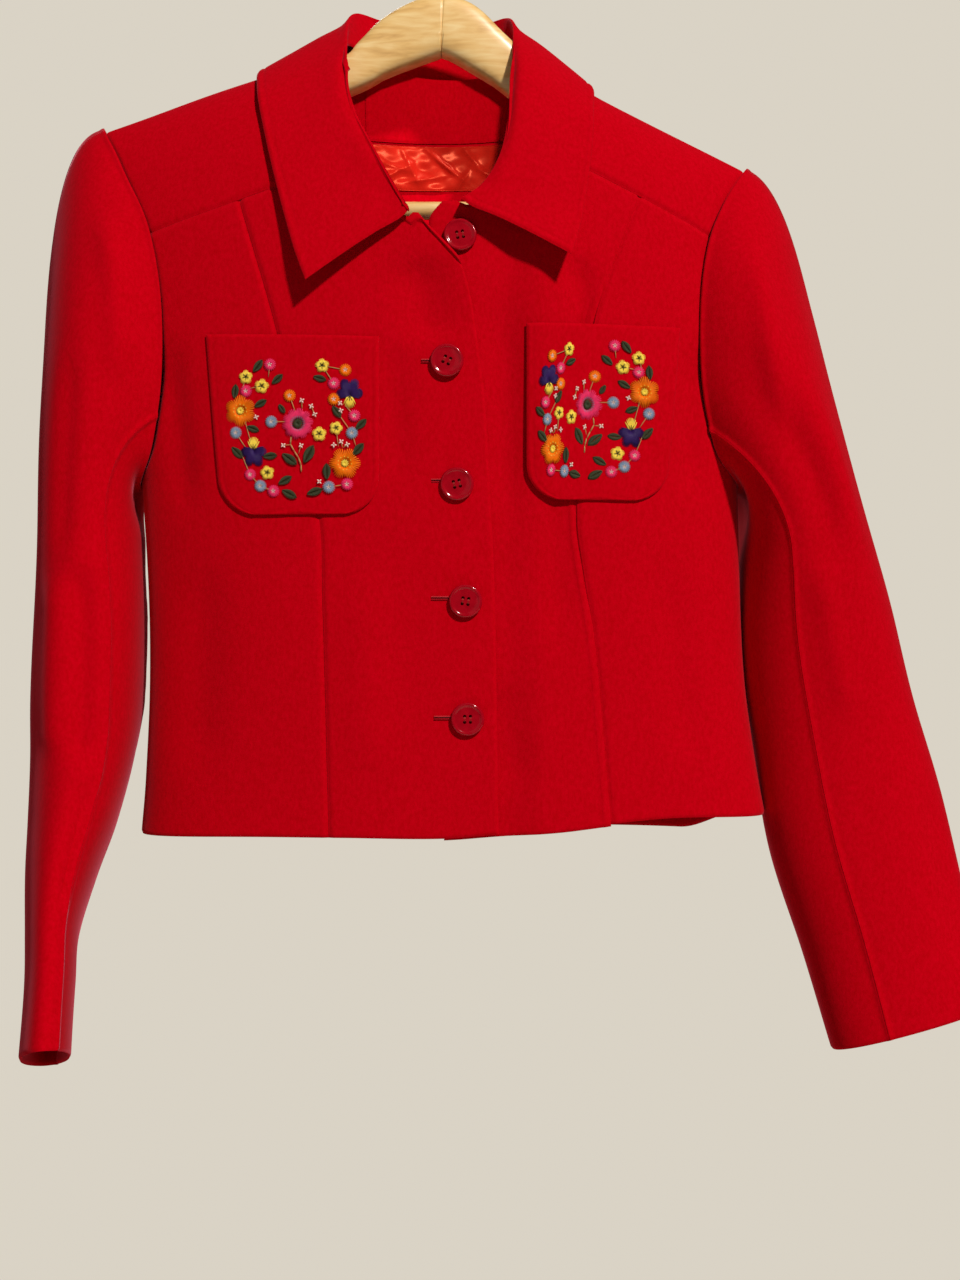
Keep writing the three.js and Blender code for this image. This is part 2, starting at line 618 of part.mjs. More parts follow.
function back() {
  const across = (t) => Math.sin(rad(lerp(-90, 90, t)));
  const topPoint = (t) => {
    const x = across(t) * SHOULDER[t < 0.5 ? RIGHT : LEFT].tipX;
    const inNeck = x > BACK_NECK[0].x && x < BACK_NECK[BACK_NECK.length - 1].x;
    return [x, inNeck ? along(BACK_NECK, 'x', 'z', x) : shoulderZ(x)];
  };
  const bottomPoint = (t) => {
    const x = across(t) * halfWidth(-1, t < 0.5 ? RIGHT : LEFT);
    return [x, hemZ(x, BACK)];
  };
  const surface = bodyPatch({
    top: topPoint,
    bottom: bottomPoint,
    inner: sideEdge(RIGHT, BACK, SHOULDER[RIGHT].tipZ, BACK_ARMHOLE_SHARE),
    outer: sideEdge(LEFT, BACK, SHOULDER[LEFT].tipZ, BACK_ARMHOLE_SHARE),
    face: BACK,
  });
  const rows = [0, 0.005, 0.018, 0.05, 0.1, ...splitSteps([[BACK_ARMHOLE_SHARE, 6], [1, 7]]).slice(2)];
  add('back', wall(surface, steps(30), rows, WOOL, false, keepTo(BACK)), wool);
}

// ---------------------------------------------------------------- sleeves

/** Share of the armhole (0 at the tip, 1 at the underarm; - in front) for an angle round the sleeve. */
function armholeShare(angle) {
  const a = Math.abs(angle);
  const share = a <= SLEEVE_SEAM
    ? (a / SLEEVE_SEAM) * SLEEVE_SEAM_SHARE
    : lerp(SLEEVE_SEAM_SHARE, 1, (a - SLEEVE_SEAM) / (180 - SLEEVE_SEAM));
  return Math.sign(angle || 1) * share;
}

const armholeCurves = {};
for (const side of [RIGHT, LEFT]) {
  for (const face of [FRONT, BACK]) armholeCurves[`${side},${face}`] = curveThrough(ARMHOLES[side][face]);
}

/** Point of the sleeve's armhole edge, a seam gap outside the body's. */
function armholePoint(side, share) {
  const face = share < 0 ? FRONT : BACK;
  const [x, z] = armholeCurves[`${side},${face}`](Math.abs(share));
  const point = bodyPoint(chart([x, z], face), face);
  const underarm = Math.abs(share) ** 4;
  point.x += side * ARMHOLE_GAP * (1 + 2 * underarm);
  point.z -= ARMHOLE_GAP * underarm;
  return point;
}

/** Point of a sleeve ring. Angle 0 is outermost, -90 the front, 90 the back. */
function ringPoint(side, ring, angle) {
  const rows = SLEEVES[side];
  const value = (column) => atRow(rows, column, ring);
  const leanOut = rad(value('leanOut'));
  const leanFront = rad(value('leanFront'));
  const turn = rad(value('turn'));
  const outward = new THREE.Vector3(side * Math.cos(leanOut), 0, Math.sin(leanOut));
  const forward = new THREE.Vector3(0, -Math.cos(leanFront), Math.sin(leanFront));
  const vertical = new THREE.Vector3(0, 0, 1);
  outward.applyAxisAngle(vertical, -side * turn);
  forward.applyAxisAngle(vertical, -side * turn);
  const a = rad(angle);
  const inward = SLEEVE_FOLDS[side].reduce((sum, fold) => {
    const reach = smoothstep((ring - fold.from) / 0.6) * smoothstep((fold.to - ring) / 0.6);
    return sum + fold.depth * reach * bump(angle - fold.angle, fold.width);
  }, 0);
  return new THREE.Vector3(value('x'), value('y'), value('z'))
    .addScaledVector(outward, (value('across') - inward) * signedPower(Math.cos(a), SLEEVE_ROUNDNESS))
    .addScaledVector(forward, (value('deep') - inward) * signedPower(-Math.sin(a), SLEEVE_ROUNDNESS));
}

/** Point of the whole sleeve: down < 1 is its head, above 1 the rings. */
function sleevePoint(side, angle, down) {
  const wrapped = angle > 180 ? angle - 360 : angle;
  if (down >= 1) return ringPoint(side, down - 1, wrapped);
  const shape = CAP[side];
  const from = armholePoint(side, armholeShare(wrapped));
  const to = ringPoint(side, 0, wrapped);
  const length = from.distanceTo(to);
  const sideways = Math.sin(rad(Math.min(90, Math.abs(wrapped)))) ** 2;
  const leave = new THREE.Vector3(
    side * lerp(shape.outTop, shape.outSide, sideways),
    Math.sign(wrapped) * shape.forward * Math.abs(Math.sin(rad(wrapped))),
    -lerp(shape.downTop, shape.downSide, sideways),
  );
  const axis = to.clone().sub(ringPoint(side, 0.4, wrapped)).normalize();
  const curve = new THREE.CubicBezierCurve3(
    from,
    from.clone().addScaledVector(leave, length),
    to.clone().addScaledVector(axis, length * shape.rise),
    to,
  );
  return curve.getPoint(down);
}

function sleeves(side) {
  const last = SLEEVES[side].length;
  const place = (v) => (v < HEAD_SHARE ? v / HEAD_SHARE : 1 + ((v - HEAD_SHARE) / (1 - HEAD_SHARE)) * (last - 1));
  const strip = (fromAngle, toAngle) => (u, v) => sleevePoint(side, lerp(fromAngle, toAngle, u), place(v));
  const upper = strip(-SLEEVE_SEAM + SEAM_TURN, SLEEVE_SEAM - SEAM_TURN);
  const under = strip(SLEEVE_SEAM + SEAM_TURN, 360 - SLEEVE_SEAM - SEAM_TURN);
  const rows = splitSteps([[HEAD_SHARE, 7], [1, 14]]);
  const flip = side === LEFT;
  add(`upper_sleeve_${sideName(side)}`, wall(upper, steps(16), rows, WOOL, !flip), wool);
  add(`under_sleeve_${sideName(side)}`, wall(under, steps(8), rows, WOOL, !flip), wool);
}

// ---------------------------------------------------------------- collar, facing and lining

/** Keeps a point of the collar clear of the body below it. */
function clearOfBody(point, face, clearance) {
  if (face === 0) {
    point.z = Math.max(point.z, shoulderZ(point.x) + clearance);
    return point;
  }
  const body = bodyPoint(chart([point.x, point.z], face), face);
  point.y = face === FRONT ? Math.min(point.y, body.y - clearance) : Math.max(point.y, body.y + clearance);
  return point;
}

/** The section of the collar at each station: from the seam up the stand, over the roll, down to the edge. */
function collarSection(row) {
  const lap = row.face === FRONT ? Math.sign(row.seamX) : undefined;
  const onBody = (x, z) => {
    if (row.face === 0) {
      return { point: new THREE.Vector3(x, 0, shoulderZ(x)), normal: new THREE.Vector3(0, 0, 1) };
    }
    return bodyFrame(x, z, row.face, lap);
  };
  const seam = onBody(row.seamX, row.seamZ).point;
  const toNeck = new THREE.Vector3(NECK_MIDDLE.x - seam.x, 0, NECK_MIDDLE.z - seam.z).normalize();
  seam.addScaledVector(toNeck, STAND_INSET);
  const roll = new THREE.Vector3(row.rollX, row.rollY, row.rollZ);
  const base = onBody(row.edgeX, row.edgeZ);
  const edge = base.point.clone().addScaledVector(base.normal, row.lift);
  const outward = new THREE.Vector3(edge.x - seam.x, edge.y - seam.y, 0).normalize();
  const middle = (t, rise) => {
    const point = roll.clone().lerp(edge, t).addScaledVector(new THREE.Vector3(0, 0, 1), rise);
    return clearOfBody(point, row.face, FALL_CLEARANCE);
  };
  return [
    seam,
    seam.clone().lerp(roll, 0.5),
    seam.clone().lerp(roll, 0.86),
    roll.clone().addScaledVector(outward, 1.4).add(new THREE.Vector3(0, 0, 1.2)),
    middle(0.12, 0.5),
    middle(0.35, 1.5),
    middle(0.68, 1),
    edge,
  ];
}

function collar() {
  const sections = COLLAR.map(collarSection);
  const lineAt = (k) => new THREE.CatmullRomCurve3(sections.map((section) => section[k]), false, 'centripetal');
  const lines = sections[0].map((_, k) => lineAt(k));
  const lastLine = lines.length - 1;
  const surface = (u, v) => {
    const place = v * lastLine;
    const low = Math.min(lastLine - 1, Math.floor(place));
    const t = place - low;
    return lines[low].getPoint(u).lerp(lines[low + 1].getPoint(u), t);
  };
  add('collar', wall(surface, steps(36), steps(lastLine), WOOL, false), wool);
}

/** A strip inside the back, a wall's thickness and a gap in from it. */
function insideBack(name, { fromX, toX, bottomZ }, topZ, thickness, finish, rows) {
  const surface = (u, v) => {
    const x = lerp(fromX, toX, u);
    const { point, normal } = bodyFrame(x, lerp(topZ(x), bottomZ, v), BACK);
    return point.addScaledVector(normal, -INSIDE_DEPTH);
  };
  add(name, wall(surface, steps(14), steps(rows), thickness, false), finish);
}

// ---------------------------------------------------------------- pockets and buttons

function pocket(side) {
  const { innerX, outerX, topInnerZ, topOuterZ, bottomZ, slant, corner } = POCKETS[side];
  const surface = (u, v) => {
    const top = lerp(topInnerZ, topOuterZ, u);
    const z = lerp(top, bottomZ, v);
    const height = z - bottomZ;
    const cut = height < corner ? corner - Math.sqrt(corner ** 2 - (corner - height) ** 2) : 0;
    const outer = outerX - side * (slant * v + cut);
    const inner = innerX + side * cut;
    const { point, normal } = bodyFrame(lerp(inner, outer, u), z, FRONT, side);
    return point.addScaledVector(normal, POCKET_WALL + SEAM_GAP);
  };
  const rows = [0, 0.16, 0.32, 0.48, 0.64, 0.79, 0.85, 0.9, 0.95, 0.985, 1];
  add(`pocket_${sideName(side)}`, wall(surface, steps(9), rows, POCKET_WALL, side === LEFT), wool);
}

function buttonGeometry() {
  const { radius, thickness, rim, dish, hole, holeOffset } = BUTTON;
  const profile = [
    [0, 0], [radius * 0.72, 0], [radius * 0.94, thickness * 0.28], [radius, thickness * 0.58],
    [radius - rim * 0.35, thickness * 0.93], [radius - rim * 0.7, thickness], [radius - rim, thickness * 0.9],
    [radius - rim * 1.25, thickness - dish], [0, thickness - dish],
  ].map(([r, h]) => new THREE.Vector2(r, h));
  const disc = toManifold(new THREE.LatheGeometry(profile, 20));
  const holes = [-1, 1].flatMap((i) => [-1, 1].map((j) => {
    const tube = new THREE.CylinderGeometry(hole, hole, thickness * 2, 6);
    return toManifold(tube).translate([i * holeOffset, thickness / 2, j * holeOffset]);
  }));
  return fromManifold(holes.reduce((solid, tool) => solid.subtract(tool), disc));
}

function buttons() {
  const shape = buttonGeometry();
  BUTTONS.forEach(({ x, z, side }, k) => {
    const { point, normal } = bodyFrame(x, z, FRONT, side);
    const button = add(`button_${k + 1}`, shape.clone(), gloss);
    button.position.copy(point).addScaledVector(normal, SEAM_GAP + 0.1);
    button.quaternion.setFromUnitVectors(new THREE.Vector3(0, 1, 0), normal);
  });
}

// ---------------------------------------------------------------- hanger

function hangerArms() {
  const corner = [[1, 0.45], [0.75, 0.86], [0.3, 1], [-0.3, 1], [-0.75, 0.86], [-1, 0.45]];
  const outline = [...corner, ...corner.map(([y, h]) => [-y, -h])];
  const rings = ARMS.map((row, k) => {
    const before = ARMS[Math.max(0, k - 1)];
    const after = ARMS[Math.min(ARMS.length - 1, k + 1)];
    const direction = new THREE.Vector3(after.x - before.x, 0, after.z - before.z).normalize();
    const up = new THREE.Vector3(-direction.z, 0, direction.x);
    return outline.map(([y, h]) => new THREE.Vector3(row.x, (y * row.thick) / 2, row.z)
      .addScaledVector(up, (h * row.height) / 2));
  });
  add('hanger_arms', loft(rings), wood);
}

function trouserBar() {
  const first = ARMS[0];
  const last = ARMS[ARMS.length - 1];
  const fromX = first.x + first.height / 2 + BAR.endGap;
  const toX = last.x - last.height / 2 - BAR.endGap;
  const rod = new THREE.CylinderGeometry(BAR.radius, BAR.radius, toX - fromX, 16);
  const bar = add('trouser_bar', rod, wood);
  bar.rotation.z = Math.PI / 2;
  bar.position.set((fromX + toX) / 2, 0, BAR.z);
}

function hook() {
  const { wire, inner, stemFoot } = HOOK;
  const radius = inner + wire;
  const points = [[0, stemFoot], [0, -64], [0, -52], [3.5, -44], [10.5, -36.5]];
  for (let angle = -38; angle <= 200; angle += 17) {
    points.push([radius * Math.cos(rad(angle)), -inner + radius * Math.sin(rad(angle))]);
  }
  const path = new THREE.CatmullRomCurve3(points.map(([x, z]) => new THREE.Vector3(x, 0, z)));
  const section = new THREE.Shape(Array.from({ length: 8 }, (_, k) => {
    const a = (k / 8) * 2 * Math.PI;
    return new THREE.Vector2(wire * Math.cos(a), wire * Math.sin(a));
  }));
  const tube = new THREE.ExtrudeGeometry(section, { steps: 32, extrudePath: path });
  add('hook', tube, steel);
}

// ---------------------------------------------------------------- the whole jacket

for (const side of [RIGHT, LEFT]) {
  front(side);
  sideFront(side);
  yoke(side);
  sleeves(side);
  pocket(side);
}
back();
collar();
const facingTop = (x) => along(BACK_NECK, 'x', 'z', x) - FACING.topDrop;
insideBack('back_neck_facing', FACING, facingTop, FACING.thickness, wool, 4);
insideBack('back_lining', LINING, () => LINING.topZ, SATIN, satin, 3);
buttons();
hangerArms();
trouserBar();
hook();

export default jacket;
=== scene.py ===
"""Looks of a cropped red wool jacket on a wooden hanger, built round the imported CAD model.

Lengths are millimetres until a mesh is made. The frame is the CAD's: +Z up, +X the wearer's left, the
front faces -Y, and the origin is where the hook bears on its rail. Cloth pieces are the CAD's own surfaces
on a finer grid, with folds, seams and turned edges added, and each replaces its CAD node.
"""
import math

import bpy
import numpy as np
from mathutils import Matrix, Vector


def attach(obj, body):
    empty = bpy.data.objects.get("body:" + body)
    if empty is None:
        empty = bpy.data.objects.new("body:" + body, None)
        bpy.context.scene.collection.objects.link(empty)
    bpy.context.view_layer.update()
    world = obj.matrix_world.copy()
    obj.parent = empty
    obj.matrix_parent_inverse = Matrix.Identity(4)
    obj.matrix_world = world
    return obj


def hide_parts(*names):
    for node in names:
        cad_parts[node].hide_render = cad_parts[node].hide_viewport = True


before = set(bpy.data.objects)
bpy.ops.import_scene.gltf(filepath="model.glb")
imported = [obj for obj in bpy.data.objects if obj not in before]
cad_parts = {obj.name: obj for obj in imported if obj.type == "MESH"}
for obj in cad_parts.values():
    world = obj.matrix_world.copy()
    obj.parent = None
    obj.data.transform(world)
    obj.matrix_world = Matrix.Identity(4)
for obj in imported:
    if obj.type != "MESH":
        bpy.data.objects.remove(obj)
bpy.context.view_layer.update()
MM = 0.001

# ------------------------------------------------------------------ sizes, as in the part's source

WOOL = 2.0
SATIN = 1.0
SEAM_GAP = 0.4
ARMHOLE_GAP = 1.1
UNDERARM_Z = -398.0
CHEST_FRONT = 60.0
CHEST_BACK = 62.0
BODY_ROUNDNESS = 0.8
SHOULDER_FALL = 3
SHOULDER_ROUND = 0.6
NECK_MIDDLE = (-8.0, -90.0)
FALL_CLEARANCE = 4.8
STAND_INSET = 5.8
STAND_SHARES = (0.5, 0.86)      # points of the collar's stand, from its seam to the roll
ROLL_OUT, ROLL_UP = 1.4, 1.2    # how far the roll stands out and up
FALL_POINTS = [(0.12, 0.5), (0.35, 1.5), (0.68, 1.0)]   # share from the roll to the edge, and rise
NECK_RISE = 42.0
LAP_DROP = 3.2
LAP_FADE = 26.0
LAP_FADE_FROM = 40.0
# The open top of the lapping front stands off; the one that lies under sinks.
LAP_LIFT = {"height": 4.2, "x": 4, "width": 30, "z": -250, "length": 32}
UNDER_SINK = {"depth": 2, "z": -240, "length": 45}
UNDER_HEM_DROP = 1.5
HEM_MERGE = {"from": 165, "over": 45, "drop": 2}    # where the back's hem runs into the front's
NECK_SHARE = 0.45               # share of a front's top edge that is neckline
SIDE_ARMHOLE_SHARE = 0.42       # share of a side edge that is armhole, at the front and at the back
BACK_ARMHOLE_SHARE = 0.5
ARMHOLE_OVERLAP = 4             # how near a row of the armhole may lie to the panel's own corner
YOKE_CORNER = 6
RIDGE_WIDTH = 24
POCKET_WALL = 2.0
FACING = {"from_x": -54, "to_x": 46, "bottom_z": -155, "thickness": 1.4, "rise": 7.0}
LINING = {"from_x": -84, "to_x": 74, "top_z": -157, "bottom_z": -186}
INSIDE_DEPTH = WOOL + 3 * SEAM_GAP      # of the facing and lining behind the back's outer face

FRONT, BACK = -1, 1
RIGHT, LEFT = -1, 1
SIDE_NAME = {RIGHT: "right", LEFT: "left"}


def table(columns, rows):
    return dict(zip(columns, np.array(rows, float).T))


SHOULDER = {
    RIGHT: {"neckX": 66, "neckZ": -109, "tipX": 224, "tipZ": -163.5, "rise": 2},
    LEFT: {"neckX": 58, "neckZ": -118.5, "tipX": 201, "tipZ": -190, "rise": 9},
}
WIDTHS = table(("level", "right", "left"), [
    (-1.00, 198, 213), (-0.85, 195, 207), (-0.60, 192.5, 200), (-0.30, 194, 196), (0.00, 197.5, 194.5),
    (0.10, 200, 194), (0.25, 204, 194), (0.43, 210, 195), (0.60, 219, 200), (0.85, 232, 211),
    (1.00, 240, 218),
])
HEM = table(("x", "z"), [
    (-215, -627), (-130, -623.5), (-60, -623), (0, -623.5), (37, -621), (75, -618.5), (107, -615),
    (150, -612), (215, -614),
])
BACK_HEM_Z = -630.0
ARMHOLES = {
    RIGHT: {
        FRONT: [(-224, -163.5), (-213, -183), (-204, -202), (-190, -230), (-182, -259), (-178, -291),
                (-178, -329), (-181.5, -358), (-186.5, -379), (-197.5, -398)],
        BACK: [(-224, -163.5), (-211, -190), (-197, -222), (-188, -260), (-185, -300), (-185, -340),
               (-187.5, -366), (-191, -383), (-197.5, -398)],
    },
    LEFT: {
        FRONT: [(201, -190), (192, -203), (183, -219), (173, -243), (167.5, -271), (165.5, -303),
                (166.5, -335), (171, -361), (178, -381), (194.5, -398)],
        BACK: [(201, -190), (190, -212), (180, -240), (174, -275), (172, -310), (173, -342), (177, -366),
               (184, -384), (194.5, -398)],
    },
}
PRINCESS = {
    RIGHT: table(("z", "x"), [(-630, -69), (-475, -73), (-420, -76), (-308, -102), (-223, -127),
                              (-200, -133)]),
    LEFT: table(("z", "x"), [(-630, 108), (-574, 103.5), (-500, 96.5), (-460, 90), (-425, 85.5), (-360, 88),
                             (-300, 97), (-258, 111), (-221, 125), (-200, 133)]),
}
LAP_EDGE = table(("z", "x"), [(-640, 37), (-550, 35.5), (-475, 34.3), (-401, 31), (-351, 28), (-314, 23.5),
                              (-288, 19.5), (-272, 15.5), (-261, 11)])
UNDER_EDGE = table(("z", "x"), [(-640, 3), (-560, 1), (-300, -5), (-236, -7), (-224, 1)])
YOKE_SEAM = {
    RIGHT: [(-51, -195.5), (-106.7, -215), (-187, -240)],
    LEFT: [(52.5, -180), (94, -201.5), (173, -241)],
}
NECKLINE = {
    RIGHT: [(-66, -107), (-67, -132), (-64.5, -155), (-59, -178), (-51, -195.5), (-40, -213), (-30, -227),
            (-20.5, -236.5), (-15, -233), (-8, -241), (2, -251.5), (11, -261)],
    LEFT: [(58, -110.5), (59.5, -138), (57.5, -162), (52.5, -180), (43, -206), (31, -221), (19, -226.5),
           (10, -224), (1, -224)],
}
YOKE_ROW = 4    # row of NECKLINE[RIGHT] where the yoke seam meets it; one fewer on the left
BACK_NECK = table(("x", "z"), [(-66, -107), (-50, -114), (-30, -119.5), (0, -122), (30, -122), (46, -118),
                               (58, -110.5)])
COLLAR = [  # face, seamX, seamZ, rollX, rollY, rollZ, edgeX, edgeZ, lift
    (-1, -19, -238, -17.5, -63, -234.5, -81, -280, 16),
    (-1, -30, -227, -29, -57, -214, -88, -262, 13),
    (-1, -40, -213, -41, -50, -191, -95, -240, 9),
    (-1, -51, -195.5, -53, -41, -166, -104, -208, 6),
    (-1, -64.5, -155, -59.5, -30, -140, -112, -176, 5),
    (-1, -67, -132, -61, -17, -114, -118, -148, 5),
    (0, -66, -107, -62, 9, -86, -121, -128, 5),
    (1, -50, -114, -57, 25, -74, -106, -141, 4),
    (1, -30, -119.5, -34, 40, -74, -62, -146, 4),
    (1, 0, -122, -6, 44, -74, -8, -148, 4),
    (1, 30, -122, 23, 39, -76, 46, -149, 4),
    (1, 46, -118, 41, 26, -77, 84, -149, 4),
    (0, 58, -110.5, 46, 9, -88, 99, -139, 5),
    (-1, 59.5, -138, 45, -18, -122, 97, -162, 5),
    (-1, 57.5, -162, 43, -31, -148, 95, -192, 5),
    (-1, 52.5, -180, 41, -42, -174, 91, -219, 6),
    (-1, 43, -206, 36, -50, -198, 87, -240, 9),
    (-1, 31, -221, 26, -54, -216, 83, -253, 14),
    (-1, 14.5, -228, 12.5, -60, -227.5, 79, -265, 18),
]
POCKETS = {
    RIGHT: {"innerX": -37.5, "outerX": -147, "topInnerZ": -312, "topOuterZ": -308, "bottomZ": -422,
            "slant": 10, "corner": 23},
    LEFT: {"innerX": 54, "outerX": 151, "topInnerZ": -303, "topOuterZ": -303, "bottomZ": -413,
           "slant": 9, "corner": 22},
}
BUTTON = {"radius": 10.4, "thickness": 3.2, "rim": 2, "dish": 0.6, "hole": 1.05, "holeOffset": 1.8}
BUTTONS = [  # x, z, side
    (12.5, -247, LEFT), (4.5, -327, RIGHT), (10.7, -403.5, RIGHT), (16, -476, RIGHT), (17.3, -549, RIGHT),
]
BUTTON_TURNS = (10, -24, 13, -8, 0)     # how far each button is turned on its thread, degrees
BUTTONHOLES = [  # x of the outer end and z, below the top button
    (-11.2, -327), (-5, -401.3), (-5, -474.1), (-3.2, -548.2),
]
SLEEVE_COLUMNS = ("x", "y", "z", "across", "deep", "leanOut", "leanFront", "turn")
SLEEVES = {
    RIGHT: table(SLEEVE_COLUMNS, [
        (-233, 2, -436, 32, 61, 0, 0, 9), (-234, 1, -480, 33, 65, 0, 0, 13),
        (-234.5, -3, -539, 33.3, 67, 0, 2, 14),
        (-235.5, -9, -577, 31, 66, 0, 8, 15), (-239, -20, -617, 26, 66, 0, 14, 16),
        (-242.5, -34, -650, 20, 64, 0, 18, 17), (-243, -51, -684, 14.5, 62, 0, 20, 17),
        (-239, -68, -712, 13.5, 61, 0, 20, 17), (-233.5, -95, -749, 13, 59, 0, 20, 17),
    ]),
    LEFT: table(SLEEVE_COLUMNS, [
        (240, 8, -440, 42, 53, 17, 0, 0), (248.5, 10, -495, 50, 47, 17, 0, 0),
        (260.5, 8, -556, 53, 41, 16, 0, 0), (274.5, 2, -622, 56.5, 36, 16, 3, 0),
        (291, -8, -690, 53.5, 32, 16, 7, 0), (303, -22, -751, 49.5, 27, 16, 11, 0),
    ]),
}
SLEEVE_SEAM = 112.0
SLEEVE_SEAM_SHARE = 0.82
SLEEVE_ROUNDNESS = 0.9
SLEEVE_SEAM_TURN = 0.4          # half the gap at those seams, degrees
SLEEVE_FOLD_TAPER = 0.6         # in rings
HEAD_SHARE = 0.36
UNDERARM_POWER = 4
HEAD_AXIS_RING = 0.4            # the head ends along the line to this ring
CAP = {
    RIGHT: {"outTop": 0.16, "outSide": 0.3, "downTop": 0.02, "downSide": 0.2, "forward": 0.2, "rise": 0.33},
    LEFT: {"outTop": 0.14, "outSide": 0.25, "downTop": 0.05, "downSide": 0.2, "forward": 0.2, "rise": 0.35},
}
SLEEVE_FOLDS = {  # angle, width, depth, from ring, to ring
    RIGHT: [(-88, 12, 4, 0.3, 3.4), (-60, 14, -3, 0.4, 3.2), (-100, 10, 3, 3.4, 6.0), (95, 14, 3, 0.5, 3.0)],
    LEFT: [(-80, 16, 3, -0.8, 0.5), (-60, 14, -2, -0.8, 0.4), (60, 16, 3, 0.2, 2.0), (-45, 16, 2, 2.6, 4.6)],
}
ARMS = table(("x", "z", "height", "thick"), [
    (-185, -228, 14, 13), (-185, -208, 14, 14), (-180, -192, 19, 14), (-167, -176.5, 22, 15),
    (-145, -163, 23, 16), (-118, -149, 24, 17), (-88, -136, 24, 18), (-58, -124, 24, 18),
    (-45, -114.5, 29, 18), (-30, -104.5, 36, 19), (-12, -96, 39, 20), (0, -93.5, 38, 20),
    (12, -97, 38, 20), (28, -109, 33, 19), (41, -119.5, 29, 17), (58, -137, 20, 14),
    (88, -149.5, 21, 17), (118, -165, 21, 16), (143, -178.5, 20, 15),
    (160, -192, 19, 14), (172, -208, 14, 14), (172, -228, 14, 13),
])
BAR = {"radius": 5.8, "z": -215.2, "endGap": 0.9}
HOOK = {"wire": 1.8, "inner": 18, "stemFoot": -74.2}


# ------------------------------------------------------------------ small helpers

def lerp(a, b, t):
    return a + (b - a) * t


def smoothstep(t):
    t = np.clip(t, 0.0, 1.0)
    return t * t * (3 - 2 * t)


def bump(distance, width):
    return np.exp(-((distance / width) ** 2))


def unit(vectors):
    return vectors / np.maximum(np.linalg.norm(vectors, axis=-1, keepdims=True), 1e-12)


def cubic(a, b, slope_a, slope_b, t):
    """Cubic from a to b whose slopes at the ends are per unit of t."""
    second = 3 * (b - a) - 2 * slope_a - slope_b
    third = 2 * (a - b) + slope_a + slope_b
    return a + t * (slope_a + t * (second + t * third))


def smooth_value(keys, values, place):
    """Value at a place among increasing keys, by cubic pieces through the values."""
    slopes = np.empty_like(values)
    slopes[1:-1] = (values[2:] - values[:-2]) / (keys[2:] - keys[:-2])
    slopes[0] = (values[1] - values[0]) / (keys[1] - keys[0])
    slopes[-1] = (values[-1] - values[-2]) / (keys[-1] - keys[-2])
    place = np.clip(place, keys[0], keys[-1])
    k = np.clip(np.searchsorted(keys, place, side="right") - 1, 0, len(keys) - 2)
    span = keys[k + 1] - keys[k]
    return cubic(values[k], values[k + 1], slopes[k] * span, slopes[k + 1] * span, (place - keys[k]) / span)


def along(rows, key, column, place):
    keys = rows[key]
    sign = 1.0 if keys[-1] > keys[0] else -1.0
    return smooth_value(sign * keys, rows[column], sign * np.asarray(place, float))


def curve_through(points):
    """Smooth curve in the (x, z) plane, evenly spaced by length; t from 0 to 1."""
    rows = np.array(points, float)
    last = len(rows) - 1
    padded = np.vstack([rows[:1], rows, rows[-1:]])

    def raw(t):
        place = np.clip(t, 0, 1) * last
        k = np.minimum(np.floor(place).astype(int), last - 1)
        before, a, b, after = (padded[k + j] for j in range(4))
        return cubic(a, b, (b - before) / 2, (after - a) / 2, (place - k)[..., None])

    fine = np.linspace(0, 1, 801)
    lengths = np.concatenate([[0], np.cumsum(np.linalg.norm(np.diff(raw(fine), axis=0), axis=1))])

    def curve(t):
        places = raw(np.interp(np.asarray(t, float) * lengths[-1], lengths, fine))
        return places[..., 0], places[..., 1]

    return curve


def joined(first, second, share):
    def curve(t):
        t = np.asarray(t, float)
        near = first(np.clip(t / share, 0, 1))
        far = second(np.clip((t - share) / (1 - share), 0, 1))
        return np.where(t < share, near[0], far[0]), np.where(t < share, near[1], far[1])

    return curve


# ------------------------------------------------------------------ the body's surface

def by_side(x, of):
    """Chooses of(RIGHT) or of(LEFT) by the sign of x."""
    return np.where(np.asarray(x) < 0, of(RIGHT), of(LEFT))


def shoulder_z(x):
    reach = np.abs(x)
    middle = (SHOULDER[RIGHT]["neckZ"] + SHOULDER[LEFT]["neckZ"]) / 2

    def one(side):
        s = SHOULDER[side]
        slope = (reach - s["neckX"]) / (s["tipX"] - s["neckX"])
        outer = lerp(s["neckZ"], s["tipZ"], slope) + s["rise"] * bump(reach - s["neckX"], RIDGE_WIDTH)
        t = np.minimum(reach / s["neckX"], 1)
        inner = lerp(middle, s["neckZ"] + s["rise"], t) + NECK_RISE * (1 - t * t) ** 2
        return np.where(reach >= s["neckX"], outer, inner)

    return by_side(x, one)


def hem_z(x, face):
    front = along(HEM, "x", "z", x)
    if face == FRONT:
        return front
    share = smoothstep((np.abs(x) - HEM_MERGE["from"]) / HEM_MERGE["over"])
    return lerp(BACK_HEM_Z, front - HEM_MERGE["drop"], share)


def half_width(level, x):
    return by_side(x, lambda side: along(WIDTHS, "level", SIDE_NAME[side], level))


def height_at(x, level, face):
    above = UNDERARM_Z + level * (shoulder_z(x) - UNDERARM_Z)
    below = UNDERARM_Z + level * (UNDERARM_Z - hem_z(x, face))
    return np.where(level >= 0, above, below)


def chart(x, z, face):
    above = (z - UNDERARM_Z) / (shoulder_z(x) - UNDERARM_Z)
    below = (z - UNDERARM_Z) / (UNDERARM_Z - hem_z(x, face))
    level = np.where(z >= UNDERARM_Z, above, below)
    share = np.clip(np.abs(x) / half_width(level, x), 0, 1)
    return np.where(x < 0, -1, 1) * np.degrees(np.arcsin(share)), level


